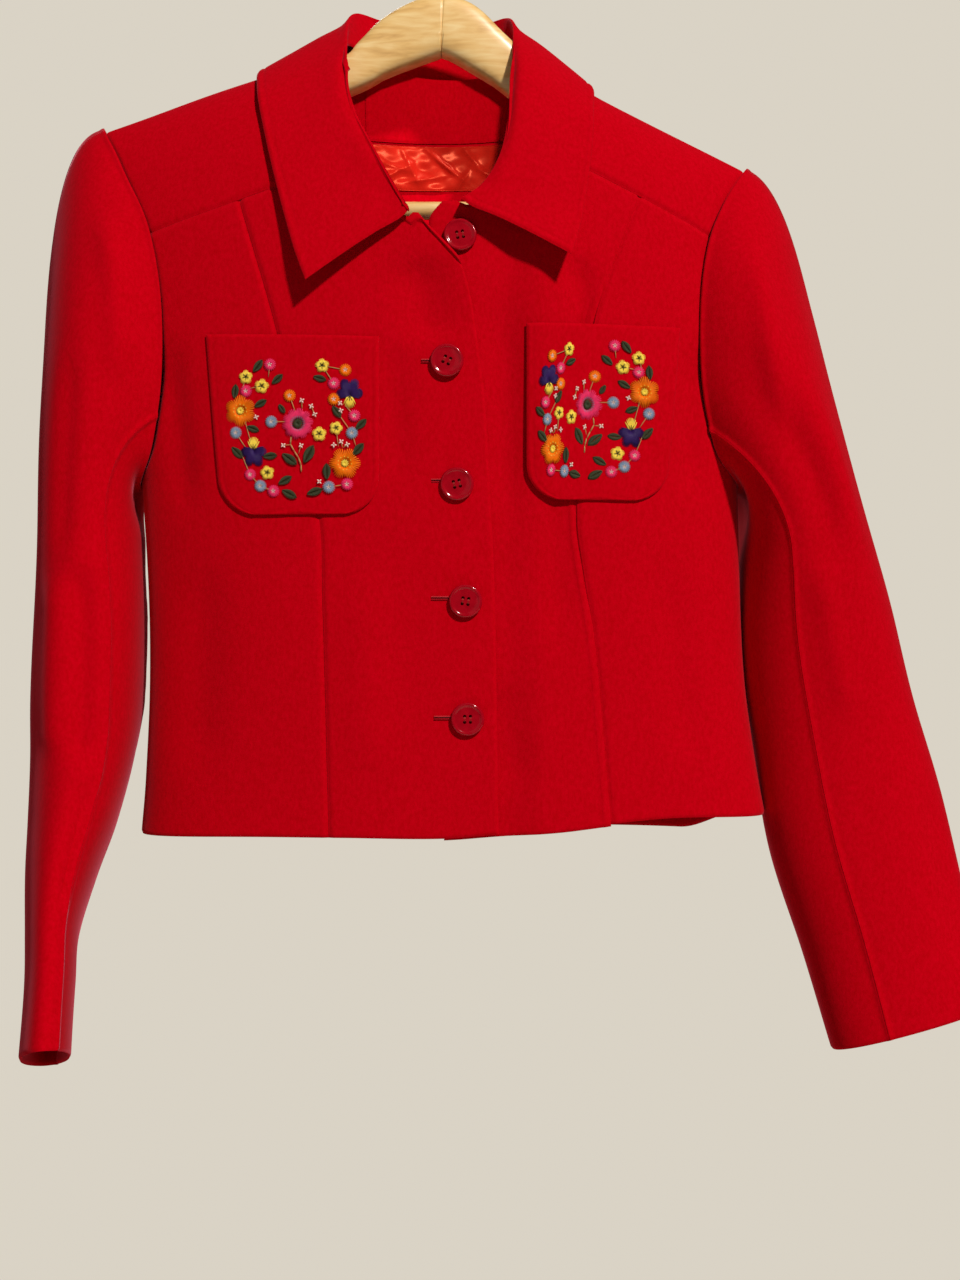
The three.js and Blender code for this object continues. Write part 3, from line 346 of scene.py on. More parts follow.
def lap_shift(x, z, side):
    if side == RIGHT:
        lift = LAP_LIFT
        return -lift["height"] * bump(x - lift["x"], lift["width"]) * bump(z - lift["z"], lift["length"])
    sink = UNDER_SINK["depth"] * bump(z - UNDER_SINK["z"], UNDER_SINK["length"])
    return (LAP_DROP + sink) * (1 - smoothstep((x - LAP_FADE_FROM) / LAP_FADE))


def body_point(angle, level, face, lap=None):
    share = np.sin(np.radians(np.minimum(90, np.abs(angle))))
    oval = np.sqrt(np.maximum(0, 1 - share ** (2 / BODY_ROUNDNESS))) ** BODY_ROUNDNESS
    level = np.minimum(1, level)
    x = np.where(angle < 0, -1, 1) * half_width(level, angle) * share
    fall = (1 - np.maximum(level, 0) ** SHOULDER_FALL) ** SHOULDER_ROUND
    depth = (CHEST_FRONT if face == FRONT else CHEST_BACK) * fall
    z = height_at(x, level, face)
    y = face * (SEAM_GAP / 2 + depth * oval)
    if lap:
        y = y + lap_shift(x, z, lap)
    return np.stack([x, y, z], axis=-1)


def body_frame(x, z, face, lap=None, reach=0.5):
    """Outer points and outward normals of the body at x and z."""
    x, z = np.broadcast_arrays(np.asarray(x, float), np.asarray(z, float))

    def at(dx, dz):
        return body_point(*chart(x + dx, z + dz, face), face, lap)

    normal = unit(np.cross(at(reach, 0) - at(-reach, 0), at(0, reach) - at(0, -reach)))
    normal = np.where(normal[..., 1:2] * face < 0, -normal, normal)
    return at(0, 0), normal


def body_patch(top, bottom, inner, outer, face, lap=None):
    """A patch of the body between four edges given as curves in (x, z); u runs across, v down."""
    def on(edge, t):
        return np.array(chart(*edge(t), face))

    corners = [on(edge, np.float64(end)) for edge in (top, bottom) for end in (0, 1)]

    def surface(u, v):
        c = [corner[:, None, None] for corner in corners]
        place = ((1 - v) * on(top, u) + v * on(bottom, u) + (1 - u) * on(inner, v) + u * on(outer, v)
                 - (1 - u) * (1 - v) * c[0] - u * (1 - v) * c[1] - (1 - u) * v * c[2] - u * v * c[3])
        return body_point(place[0], place[1], face, lap)

    return surface


def shift_x(edge, dx):
    return lambda t: (edge(t)[0] + dx, edge(t)[1])


def shift_z(edge, dz):
    return lambda t: (edge(t)[0], edge(t)[1] + dz)


def seam_edge(rows, top_z, bottom_z):
    def edge(t):
        z = lerp(top_z, bottom_z, t)
        return along(rows, "z", "x", z), z

    return edge


def hem_edge(from_x, to_x, face, drop=0.0):
    def edge(t):
        x = lerp(from_x, to_x, t)
        return x, hem_z(x, face) - drop

    return edge


def side_edge(side, face, from_z, share):
    """Down the armhole from a height, then down the side seam."""
    hole = ARMHOLES[side][face]
    above = [p for p in hole if p[1] >= from_z - ARMHOLE_OVERLAP]
    below = [p for p in hole if p[1] < from_z - ARMHOLE_OVERLAP]
    (xa, za), (xb, zb) = above[-1], below[0]
    start = (lerp(xa, xb, (from_z - za) / (zb - za)), from_z)

    def seam(t):
        x = side * half_width(-t, np.full_like(t, side))
        return x, height_at(x, -t, face)

    return joined(curve_through([start, *below]), seam, share)


# ------------------------------------------------------------------ the panels' surfaces

def yoke_row(side):
    return YOKE_ROW if side == RIGHT else YOKE_ROW - 1


def princess_top(side):
    """Where the princess seam meets the yoke seam."""
    yoke_curve = curve_through(YOKE_SEAM[side])
    t = np.linspace(0, 1, 4001)
    x, z = yoke_curve(t)
    k = int(np.argmax(np.abs(x) >= np.abs(along(PRINCESS[side], "z", "x", z))))
    return float(x[k]), float(z[k])


def front_surface(side):
    neck = NECKLINE[side]
    top_x, top_z = princess_top(side)
    neck_part = curve_through(neck[yoke_row(side):][::-1])
    yoke_part = curve_through([YOKE_SEAM[side][0], YOKE_SEAM[side][1], (top_x, top_z)])
    rows = LAP_EDGE if side == RIGHT else UNDER_EDGE
    start_x, end_x = rows["x"][0], PRINCESS[side]["x"][0]
    drop = UNDER_HEM_DROP if side == LEFT else 0.0
    gap = side * SEAM_GAP / 2
    return body_patch(
        shift_z(joined(neck_part, yoke_part, NECK_SHARE), -SEAM_GAP / 2),
        hem_edge(start_x, end_x - gap, FRONT, drop),
        seam_edge(rows, neck[-1][1] - SEAM_GAP / 2, hem_z(start_x, FRONT) - drop),
        shift_x(seam_edge(PRINCESS[side], top_z - SEAM_GAP / 2, hem_z(end_x, FRONT) - drop), -gap),
        FRONT, side)


def side_front_surface(side):
    top_x, top_z = princess_top(side)
    end_x, end_z = YOKE_SEAM[side][2]
    gap = side * SEAM_GAP / 2
    hem_x = PRINCESS[side]["x"][0]
    seam_x = float(side * half_width(-1.0, side))
    return body_patch(
        lambda t: (lerp(top_x + gap, end_x, t), lerp(top_z, end_z, t) - SEAM_GAP / 2),
        hem_edge(hem_x + gap, seam_x, FRONT),
        shift_x(seam_edge(PRINCESS[side], top_z - SEAM_GAP / 2, hem_z(hem_x, FRONT)), gap),
        side_edge(side, FRONT, end_z - SEAM_GAP / 2, SIDE_ARMHOLE_SHARE),
        FRONT, side)


def yoke_surface(side):
    s = SHOULDER[side]
    join_x, join_z = YOKE_SEAM[side][0]
    end_x, end_z = YOKE_SEAM[side][2]
    hole = [p for p in ARMHOLES[side][FRONT] if p[1] > end_z + YOKE_CORNER]

    def ridge(t):
        x = side * lerp(s["neckX"], s["tipX"], t)
        return x, shoulder_z(x)

    return body_patch(
        ridge,
        shift_z(curve_through(YOKE_SEAM[side]), SEAM_GAP),
        curve_through([*NECKLINE[side][:yoke_row(side)], (join_x, join_z + SEAM_GAP)]),
        curve_through([*hole, (end_x, end_z + SEAM_GAP)]),
        FRONT)


def back_surface():
    def across(t):
        return np.sin(np.radians(lerp(-90, 90, t)))

    def top(t):
        x = across(t) * by_side(t - 0.5, lambda side: SHOULDER[side]["tipX"])
        in_neck = (x > BACK_NECK["x"][0]) & (x < BACK_NECK["x"][-1])
        return x, np.where(in_neck, along(BACK_NECK, "x", "z", x), shoulder_z(x))

    def bottom(t):
        x = across(t) * half_width(np.full_like(t, -1.0), t - 0.5)
        return x, hem_z(x, BACK)

    right, left = (side_edge(side, BACK, SHOULDER[side]["tipZ"], BACK_ARMHOLE_SHARE)
                   for side in (RIGHT, LEFT))
    return body_patch(top, bottom, right, left, BACK)


ARMHOLE_CURVES = {(side, face): curve_through(ARMHOLES[side][face])
                  for side in (RIGHT, LEFT) for face in (FRONT, BACK)}


def armhole_point(side, angle):
    a = np.abs(angle)
    share = np.where(a <= SLEEVE_SEAM, a / SLEEVE_SEAM * SLEEVE_SEAM_SHARE,
                     lerp(SLEEVE_SEAM_SHARE, 1, (a - SLEEVE_SEAM) / (180 - SLEEVE_SEAM)))
    points = {}
    for face in (FRONT, BACK):
        x, z = ARMHOLE_CURVES[side, face](share)
        points[face] = body_point(*chart(x, z, face), face)
    point = np.where((angle < 0)[..., None], points[FRONT], points[BACK])
    underarm = share ** UNDERARM_POWER
    point[..., 0] += side * ARMHOLE_GAP * (1 + 2 * underarm)
    point[..., 2] -= ARMHOLE_GAP * underarm
    return point


def ring_point(side, ring, angle):
    rows = SLEEVES[side]
    keys = np.arange(len(rows["x"]), dtype=float)
    x, y, z, across, deep, lean_out, lean_front, turn = (
        smooth_value(keys, rows[c], ring) for c in SLEEVE_COLUMNS)
    lean_out, lean_front, turn = (np.radians(v) for v in (lean_out, lean_front, -side * turn))
    zero = np.zeros_like(x)
    outward = np.stack([side * np.cos(lean_out), zero, np.sin(lean_out)], axis=-1)
    forward = np.stack([zero, -np.cos(lean_front), np.sin(lean_front)], axis=-1)

    def turned(v):
        c, s = np.cos(turn), np.sin(turn)
        return np.stack([c * v[..., 0] - s * v[..., 1], s * v[..., 0] + c * v[..., 1], v[..., 2]], axis=-1)

    taper = SLEEVE_FOLD_TAPER
    inward = sum(depth * smoothstep((ring - start) / taper) * smoothstep((end - ring) / taper)
                 * bump(angle - place, width) for place, width, depth, start, end in SLEEVE_FOLDS[side])
    a = np.radians(angle)

    def signed_power(value):
        return np.sign(value) * np.abs(value) ** SLEEVE_ROUNDNESS

    return (np.stack([x, y, z], axis=-1)
            + turned(outward) * ((across - inward) * signed_power(np.cos(a)))[..., None]
            + turned(forward) * ((deep - inward) * signed_power(-np.sin(a)))[..., None])


def sleeve_surface(side, from_angle, to_angle):
    rings = len(SLEEVES[side]["x"]) - 1
    shape = CAP[side]

    def surface(u, v):
        angle = lerp(from_angle, to_angle, u)
        angle = np.where(angle > 180, angle - 360, angle)
        down = v / HEAD_SHARE
        ring = np.clip((v - HEAD_SHARE) / (1 - HEAD_SHARE), 0, 1) * rings
        start = armhole_point(side, angle)
        end = ring_point(side, np.zeros_like(angle), angle)
        length = np.linalg.norm(end - start, axis=-1, keepdims=True)
        sideways = np.sin(np.radians(np.minimum(90, np.abs(angle)))) ** 2
        leave = np.stack([
            side * lerp(shape["outTop"], shape["outSide"], sideways),
            np.sign(angle) * shape["forward"] * np.abs(np.sin(np.radians(angle))),
            -lerp(shape["downTop"], shape["downSide"], sideways),
        ], axis=-1)
        axis = unit(end - ring_point(side, np.full_like(angle, HEAD_AXIS_RING), angle))
        t = np.clip(down, 0, 1)[..., None]
        head = ((1 - t) ** 3 * start + 3 * t * (1 - t) ** 2 * (start + leave * length)
                + 3 * t * t * (1 - t) * (end + axis * length * shape["rise"]) + t ** 3 * end)
        return np.where((v <= HEAD_SHARE)[..., None], head, ring_point(side, ring, angle))

    return surface


def clear_of_body(point, face, clearance):
    if face == 0:
        point[2] = max(point[2], shoulder_z(point[0]) + clearance)
        return point
    body = body_point(*chart(point[0], point[2], face), face)
    point[1] = min(point[1], body[1] - clearance) if face == FRONT else max(point[1], body[1] + clearance)
    return point


def collar_section(row):
    face, seam_x, seam_z, roll_x, roll_y, roll_z, edge_x, edge_z, lift = row
    lap = int(np.sign(seam_x)) if face == FRONT else None

    def on_body(x, z):
        if face == 0:
            return np.array([x, 0, float(shoulder_z(x))]), np.array([0.0, 0.0, 1.0])
        return body_frame(x, z, face, lap)

    seam = on_body(seam_x, seam_z)[0]
    to_neck = unit(np.array([NECK_MIDDLE[0] - seam[0], 0, NECK_MIDDLE[1] - seam[2]]))
    seam = seam + STAND_INSET * to_neck
    roll = np.array([roll_x, roll_y, roll_z], float)
    base, normal = on_body(edge_x, edge_z)
    edge = base + lift * normal
    outward = unit(np.array([edge[0] - seam[0], edge[1] - seam[1], 0]))

    def middle(t, rise):
        return clear_of_body(lerp(roll, edge, t) + np.array([0, 0, rise]), face, FALL_CLEARANCE)

    return np.array([seam, *(lerp(seam, roll, share) for share in STAND_SHARES),
                     roll + ROLL_OUT * outward + np.array([0, 0, ROLL_UP]),
                     *(middle(share, rise) for share, rise in FALL_POINTS), edge])


def centripetal(points, t):
    """Centripetal Catmull-Rom curve through rows of points, at t from 0 to 1."""
    last = len(points) - 1
    padded = np.concatenate([[2 * points[0] - points[1]], points, [2 * points[-1] - points[-2]]])
    place = t * last
    k = np.minimum(np.floor(place).astype(int), last - 1)
    p = [padded[k + j] for j in range(4)]
    gaps = [np.sqrt(np.linalg.norm(p[j + 1] - p[j], axis=-1, keepdims=True)) for j in range(3)]
    step = (p[2] - p[1]) / gaps[1]
    slope_a = ((p[1] - p[0]) / gaps[0] - (p[2] - p[0]) / (gaps[0] + gaps[1]) + step) * gaps[1]
    slope_b = (step - (p[3] - p[1]) / (gaps[1] + gaps[2]) + (p[3] - p[2]) / gaps[2]) * gaps[1]
    return cubic(p[1], p[2], slope_a, slope_b, (place - k)[:, None])


def collar_surface(u, v):
    sections = np.array([collar_section(row) for row in COLLAR])
    us = u[0]
    lines = np.array([centripetal(sections[:, k], us) for k in range(sections.shape[1])])
    last = len(lines) - 1
    padded = np.concatenate([2 * lines[:1] - lines[1:2], lines, 2 * lines[-1:] - lines[-2:-1]])
    place = v[:, 0] * last
    k = np.minimum(np.floor(place).astype(int), last - 1)
    p = [padded[k + j] for j in range(4)]
    return cubic(p[1], p[2], (p[2] - p[0]) / 2, (p[3] - p[1]) / 2, (place - k)[:, None, None])


def inside_back_surface(strip, top_z):
    """A strip inside the back; top_z gives the height of its upper edge at x."""
    def surface(u, v):
        x = lerp(strip["from_x"], strip["to_x"], u)
        point, normal = body_frame(x, lerp(top_z(x), strip["bottom_z"], v), BACK)
        return point - INSIDE_DEPTH * normal

    return surface


def pocket_surface(side):
    p = POCKETS[side]

    def surface(u, v):
        z = lerp(lerp(p["topInnerZ"], p["topOuterZ"], u), p["bottomZ"], v)
        into = np.clip(p["corner"] - (z - p["bottomZ"]), 0, p["corner"])
        cut = p["corner"] - np.sqrt(p["corner"] ** 2 - into ** 2)
        outer = p["outerX"] - side * (p["slant"] * v + cut)
        inner = p["innerX"] + side * cut
        point, normal = body_frame(lerp(inner, outer, u), z, FRONT, side)
        return point + (POCKET_WALL + SEAM_GAP) * normal

    return surface


# ------------------------------------------------------------------ materials

def material(name, colour, roughness, **sockets):
    """A node material and its Principled shader; sockets are the shader's own values by name."""
    made = bpy.data.materials.new(name)
    made.use_nodes = True
    shader = made.node_tree.nodes["Principled BSDF"]
    shader.inputs["Base Color"].default_value = (*colour, 1)
    shader.inputs["Roughness"].default_value = roughness
    for socket, value in sockets.items():
        shader.inputs[socket.replace("_", " ")].default_value = value
    return made, shader


def noise(tree, scale, detail=4.0, stretch=None, distortion=0.0):
    """A noise texture in the object's own metres, stretched along an axis where asked."""
    place = tree.nodes.new("ShaderNodeTexCoord").outputs["Object"]
    if stretch:
        mapping = tree.nodes.new("ShaderNodeMapping")
        mapping.inputs["Scale"].default_value = stretch
        tree.links.new(place, mapping.inputs["Vector"])
        place = mapping.outputs["Vector"]
    texture = tree.nodes.new("ShaderNodeTexNoise")
    texture.inputs["Scale"].default_value = scale
    texture.inputs["Detail"].default_value = detail
    texture.inputs["Distortion"].default_value = distortion
    tree.links.new(place, texture.inputs["Vector"])
    return texture.outputs["Fac"]


def ramp(tree, source, stops):
    """A colour ramp from (place, colour) stops; colours are linear RGB."""
    node = tree.nodes.new("ShaderNodeValToRGB")
    elements = node.color_ramp.elements
    while len(elements) < len(stops):
        elements.new(0.5)
    for element, (place, colour) in zip(elements, stops):
        element.position = place
        element.color = (*colour, 1)
    tree.links.new(source, node.inputs["Fac"])
    return node.outputs["Color"]


def add_bump(tree, shader, layers):
    """Bump from (height source, strength, distance in mm) layers, one over another."""
    normal = None
    for source, strength, distance in layers:
        node = tree.nodes.new("ShaderNodeBump")
        node.inputs["Strength"].default_value = strength
        node.inputs["Distance"].default_value = distance * MM
        tree.links.new(source, node.inputs["Height"])
        if normal:
            tree.links.new(normal, node.inputs["Normal"])
        normal = node.outputs["Normal"]
    tree.links.new(normal, shader.inputs["Normal"])


def mottled(name, dark, light, roughness, scale, bumps, stretch=None, **sockets):
    """A material whose colour runs between two tones by noise, with bump layers (scale, strength, mm)."""
    made, shader = material(name, light, roughness, **sockets)
    tree = made.node_tree
    tones = noise(tree, scale, 6.0, stretch)
    tree.links.new(ramp(tree, tones, [(0.3, dark), (0.7, light)]), shader.inputs["Base Color"])
    add_bump(tree, shader, [(noise(tree, s, 3.0, stretch), strength, mm) for s, strength, mm in bumps])
    return made


WOOL_RED = mottled("wool_red", (0.455, 0.0, 0.004), (0.55, 0.0, 0.0075), 0.95, 520,
                   [(1500, 0.3, 0.25), (430, 0.28, 0.3)], stretch=(1, 1, 0.6),
                   Sheen_Weight=0.2, Sheen_Roughness=0.35, Sheen_Tint=(1, 0.28, 0.38, 1),
                   Specular_IOR_Level=0.01)
SATIN_RED = mottled("satin_red", (0.4, 0.008, 0.004), (0.56, 0.016, 0.008), 0.26, 90,
                    [(3000, 0.15, 0.1)], stretch=(1, 1, 0.15), Specular_IOR_Level=0.3,
                    Specular_Tint=(1, 0.2, 0.1, 1), Anisotropic=0.4)
BUTTON_RED = mottled("button_red", (0.3, 0.0, 0.006), (0.38, 0.001, 0.009), 0.12, 220,
                     [(300, 0.04, 0.1)], Specular_IOR_Level=0.3)
STEEL = mottled("steel_wire", (0.55, 0.55, 0.55), (0.72, 0.72, 0.71), 0.22, 500,
                [(900, 0.08, 0.1)], Metallic=1.0)


def wood_material():
    made, shader = material("hanger_wood", (0.85, 0.54, 0.19), 0.38, Coat_Weight=0.25, Coat_Roughness=0.15)
    tree = made.node_tree
    figure = noise(tree, 26, 8.0, (1.0, 2.5, 6.0), 1.2)
    fibres = noise(tree, 260, 6.0, (0.12, 1.0, 1.0))
    mix = tree.nodes.new("ShaderNodeMath")
    mix.operation = "MULTIPLY_ADD"
    mix.inputs[1].default_value = 0.45
    tree.links.new(fibres, mix.inputs[0])
    scaled = tree.nodes.new("ShaderNodeMath")
    scaled.operation = "MULTIPLY"
    scaled.inputs[1].default_value = 0.6
    tree.links.new(figure, scaled.inputs[0])
    tree.links.new(scaled.outputs[0], mix.inputs[2])
    colour = ramp(tree, mix.outputs[0], [(0.32, (0.62, 0.33, 0.09)), (0.5, (0.85, 0.54, 0.19)),
                                         (0.68, (0.95, 0.7, 0.32))])
    tree.links.new(colour, shader.inputs["Base Color"])
    add_bump(tree, shader, [(fibres, 0.12, 0.3)])
    return made


WOOD = wood_material()
THREADS = {  # colours of the embroidery and sewing threads, linear
    "orange": (1.0, 0.22, 0.0), "rust": (0.6, 0.05, 0.0), "yellow": (1.0, 0.76, 0.09),
    "pink": (0.9, 0.035, 0.16),
    "blue": (0.27, 0.35, 0.48), "purple": (0.032, 0.009, 0.1), "green": (0.048, 0.056, 0.024),
    # The lighter red of the buttonholes' upper lips is a painted highlight: the same thread as the lower
    # lips, drawn as a lit copy.
    "pale": (1.0, 0.78, 0.7), "tan": (0.5, 0.29, 0.1), "red": (0.45, 0.0, 0.008), "lip": (0.62, 0.03, 0.04),
    # The darkest red is painted shade: a thread laid along each buttonhole's slit in place of the shaded
    # opening of the cut.
    "painted_slit_shade": (0.06, 0.0, 0.002), "button": (0.42, 0.05, 0.04),
}


def thread_material(name, colour):
    dark = tuple(0.85 * c for c in colour)
    return mottled(f"thread_{name}", dark, colour, 0.5, 1500, [(4000, 0.3, 0.1)], Specular_IOR_Level=0.2)


THREAD_MATERIALS = {name: thread_material(name, colour) for name, colour in THREADS.items()}


# ------------------------------------------------------------------ making meshes

def mesh_object(name, vertices, faces, finish):
    """A smooth mesh from millimetre vertices, riding on the part's one body."""
    mesh = bpy.data.meshes.new(name)
    mesh.from_pydata((np.asarray(vertices) * MM).tolist(), [], [list(face) for face in faces])
    mesh.materials.append(finish)
    mesh.shade_smooth()
    piece = bpy.data.objects.new(name, mesh)
    bpy.context.scene.collection.objects.link(piece)
    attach(piece, "root")
    return piece


def grid_faces(rows, columns, start=0, flip=False):
    j, i = np.meshgrid(np.arange(rows - 1), np.arange(columns - 1), indexing="ij")
    a = (start + j * columns + i).ravel()
    faces = np.stack([a, a + 1, a + columns + 1, a + columns], axis=1)
    return faces[:, ::-1] if flip else faces


NEAR_EDGE = (0, 0.4, 0.9, 1.5, 2.3, 3.4, 4.6, 5.4, 6.4)     # rows of the shell beside each edge, mm


def edge_steps(length, step):
    """Shares of a length in even steps, with finer ones near both ends."""
    near = np.array(NEAR_EDGE)
    middle = np.linspace(near[-1], length - near[-1], max(2, int((length - 2 * near[-1]) / step) + 1))
    return np.concatenate([near[:-1], middle, (length - near[:-1])[::-1]]) / length


def grid_normals(points, sign):
    across = np.gradient(points, axis=1)
    down = np.gradient(points, axis=0)
    return sign * unit(np.cross(across, down))


SEAM_DIP = 1.0          # how deep a seam lies, mm
SEAM_WIDTH = 1.7
EDGE_ROUND = 0.85       # how far a turned edge rounds in from each face
EDGE_WIDTH = 1.1


def edge_distances(points):
    """Distance of each grid point from the left, right, top and bottom edge, along the grid."""
    across = np.linalg.norm(np.diff(points, axis=1), axis=-1)
    down = np.linalg.norm(np.diff(points, axis=0), axis=-1)
    left = np.concatenate([np.zeros((len(points), 1)), np.cumsum(across, axis=1)], axis=1)
    top = np.concatenate([np.zeros((1, points.shape[1])), np.cumsum(down, axis=0)], axis=0)
    return {"left": left, "right": left[:, -1:] - left, "top": top, "bottom": top[-1:] - top}


def close_seams(points, kinds, reach):
    """Moves the seam edges of a grid outwards along the cloth, so that neighbours meet."""
    rims = {"left": (np.s_[:, 0], np.s_[:, 1]), "right": (np.s_[:, -1], np.s_[:, -2]),
            "top": (np.s_[0], np.s_[1]), "bottom": (np.s_[-1], np.s_[-2])}
    moved = points.copy()
    for edge, (rim, inside) in rims.items():
        if kinds.get(edge) == "seam":
            moved[rim] += reach * unit(points[rim] - points[inside])
    return moved


def cloth(node, surface, size, sign, kinds, step=2.4, thickness=WOOL, relief=None, finish=None,
          reach=0.3):
    """A thin closed wall of cloth on a surface, which replaces a CAD node.

    size is the rough width and height in mm; kinds says which edges are seams and which are turned
    ("free"); relief gives the height in mm of folds and ridges at points.
    """
    us = edge_steps(size[0], step)
    vs = edge_steps(size[1], step)
    u, v = np.meshgrid(us, vs)
    points = surface(u, v)
    normals = grid_normals(points, sign)
    distances = edge_distances(points)
    height = relief(points, normals, distances) if relief else np.zeros(u.shape)
    rounding = np.zeros(u.shape)
    for edge, kind in kinds.items():
        if kind == "seam":
            height = height - SEAM_DIP * bump(distances[edge], SEAM_WIDTH)
        else:
            rounding = np.maximum(rounding, EDGE_ROUND * bump(distances[edge], EDGE_WIDTH))
    points = close_seams(points, kinds, reach)
    outer = points + (height - rounding)[..., None] * normals
    inner = points + (height + rounding * thickness / WOOL - thickness)[..., None] * normals
    rows, columns = u.shape
    count = rows * columns
    flip = sign < 0
    faces = [grid_faces(rows, columns, 0, flip), grid_faces(rows, columns, count, not flip)]
    index = np.arange(count).reshape(rows, columns)
    rim = np.concatenate([index[0, :-1], index[:-1, -1], index[-1, :0:-1], index[:0:-1, 0]])
    following = np.roll(rim, -1)
    edge = np.stack([rim, rim + count, following + count, following], axis=1)
    faces.append(edge[:, ::-1] if flip else edge)
    vertices = np.concatenate([outer.reshape(-1, 3), inner.reshape(-1, 3)])
    piece = mesh_object(f"cloth_{node}", vertices, np.concatenate(faces), finish or WOOL_RED)
    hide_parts(node)
    return piece


# ------------------------------------------------------------------ folds and pressed lines

CREASES = {  # name of the cloth: face, width, depth inwards, points (x, z) seen from that face
    "upper_sleeve_right": [
        (FRONT, 7, 2.2, [(-216, -215), (-199, -250), (-190, -290)]),
        (FRONT, 6, -1.6, [(-222, -250), (-222, -330), (-226, -420), (-228, -520)]),
        (FRONT, 5, 1.4, [(-201, -385), (-196, -405), (-190, -425)]),
        (FRONT, 7, 1.8, [(-212, -430), (-209, -480), (-212, -540)]),
        (BACK, 8, 2.2, [(-216, -220), (-204, -280), (-202, -350)]),
        (BACK, 7, -1.6, [(-228, -300), (-232, -380), (-236, -470)]),
    ],
    "upper_sleeve_left": [
        (FRONT, 6, 2.2, [(167, -310), (175, -335), (183, -362), (190, -405)]),
        (FRONT, 6, -1.5, [(180, -290), (190, -330), (199, -370)]),
        (FRONT, 6, 1.2, [(196, -360), (208, -392), (216, -420)]),
        (BACK, 8, 2.0, [(196, -240), (206, -310), (215, -380)]),
        (BACK, 8, 1.6, [(236, -440), (252, -510), (262, -560)]),
    ],
    "under_sleeve_right": [(FRONT, 6, 1.6, [(-204, -450), (-204, -520), (-208, -580)])],
    "under_sleeve_left": [(FRONT, 6, 1.2, [(214, -440), (226, -500), (238, -560)])],
    "front_left": [
        (FRONT, 9, 2.4, [(84, -255), (88, -275), (89, -300), (86, -325)]),
        (FRONT, 14, 1.6, [(66, -330), (72, -420), (74, -520)]),
        (FRONT, 12, 1.8, [(36, -270), (40, -340), (42, -440)]),
        (FRONT, 16, 1.2, [(30, -520), (40, -560), (52, -600)]),
    ],
    "front_right": [
        (FRONT, 17, 2.4, [(-16, -258), (-10, -285), (-4, -320)]),
        (FRONT, 12, 1.4, [(-34, -300), (-30, -350), (-26, -410)]),
        (FRONT, 16, -1.2, [(-48, -440), (-46, -520), (-44, -600)]),
    ],
    "side_front_right": [
        (FRONT, 10, 1.8, [(-176, -300), (-168, -360), (-160, -430)]),
        (FRONT, 16, 1.6, [(-150, -440), (-152, -520), (-156, -600)]),
    ],
    "side_front_left": [
        (FRONT, 9, 2.0, [(163, -300), (158, -350), (160, -420)]),
        (FRONT, 14, 1.6, [(140, -440), (150, -520), (160, -590)]),
    ],
    "back": [
        (BACK, 22, 2.2, [(-150, -230), (-120, -330), (-110, -460)]),
        (BACK, 22, 2.2, [(146, -240), (120, -330), (112, -460)]),
        (BACK, 30, -1.8, [(0, -200), (4, -360), (0, -560)]),
        (BACK, 12, 1.6, [(-178, -400), (-150, -440), (-120, -462)]),
        (BACK, 12, 1.6, [(176, -400), (150, -444), (118, -470)]),
    ],
}
WAVE_HEIGHT = 0.35
CREASE_GAIN = 1.6       # how much deeper the creases are laid than listed
CREASE_TAPER = 0.3      # share of a crease over which each end fades
CREASE_POINTS = 41
TURN_SHARPNESS = 2.5    # how fast a crease ends where the cloth turns away from its face


def crease_height(points, normals, crease):
    face, width, depth, line = crease
    t = np.linspace(0, 1, CREASE_POINTS)
    x, z = curve_through(line)(t)
    gaps = np.hypot(points[..., 0, None] - x, points[..., 2, None] - z)
    nearest = np.argmin(gaps, axis=-1)
    share = t[nearest]
    taper = smoothstep(share / CREASE_TAPER) * smoothstep((1 - share) / CREASE_TAPER)
    facing = smoothstep(normals[..., 1] * face * TURN_SHARPNESS)
    return -CREASE_GAIN * depth * taper * facing * bump(np.min(gaps, axis=-1), width)


def folds(name):
    """Height of the folds of a cloth: its own creases and the slow waves that all the cloth has."""
    def height(points, normals, _distances):
        x, y, z = (points[..., k] for k in range(3))
        total = WAVE_HEIGHT * (np.sin(x / 19 + z / 47 + y / 31) + 0.7 * np.sin(z / 23 - x / 37 + 1.3))
        for crease in CREASES.get(name, []):
            total = total + crease_height(points, normals, crease)
        return total

    return height


def with_line(relief, edges, place, width, depth, band=0.0):
    """Adds a pressed line at a distance from some edges, and a raised band between it and the edge."""
    def height(points, normals, distances):
        near = np.min([distances[edge] for edge in edges], axis=0)
        line = -depth * bump(near - place, width)
        raised = band * (1 - smoothstep((near - place + 0.5) / 1.0))
        return relief(points, normals, distances) + line + raised

    return height


# Place of the pressed line beside an edge, its width and depth, and how far the band beside it is raised.
UNDER_FRONT_LINE = (5.0, 0.6, 0.25, 0.3)
POCKET_LINE = (4.2, 0.6, 0.3)
COLLAR_LINE = (5.0, 0.7, 0.5, 0.15)
NECK_BAND = {"width": 6.3, "from_x": -26.0, "fade": 8, "line_width": 0.8, "line": 1.1, "raised": 1.3}


def neck_band(relief):
    """The rolled edge of the lapping front's neckline, between the end of the collar and the lap's corner."""
    band = NECK_BAND
    with_band = with_line(relief, ["top"], band["width"], band["line_width"], band["line"], band["raised"])

    def height(points, normals, distances):
        share = smoothstep((points[..., 0] - band["from_x"]) / band["fade"])
        return lerp(relief(points, normals, distances), with_band(points, normals, distances), share)

    return height


# ------------------------------------------------------------------ the cloth pieces


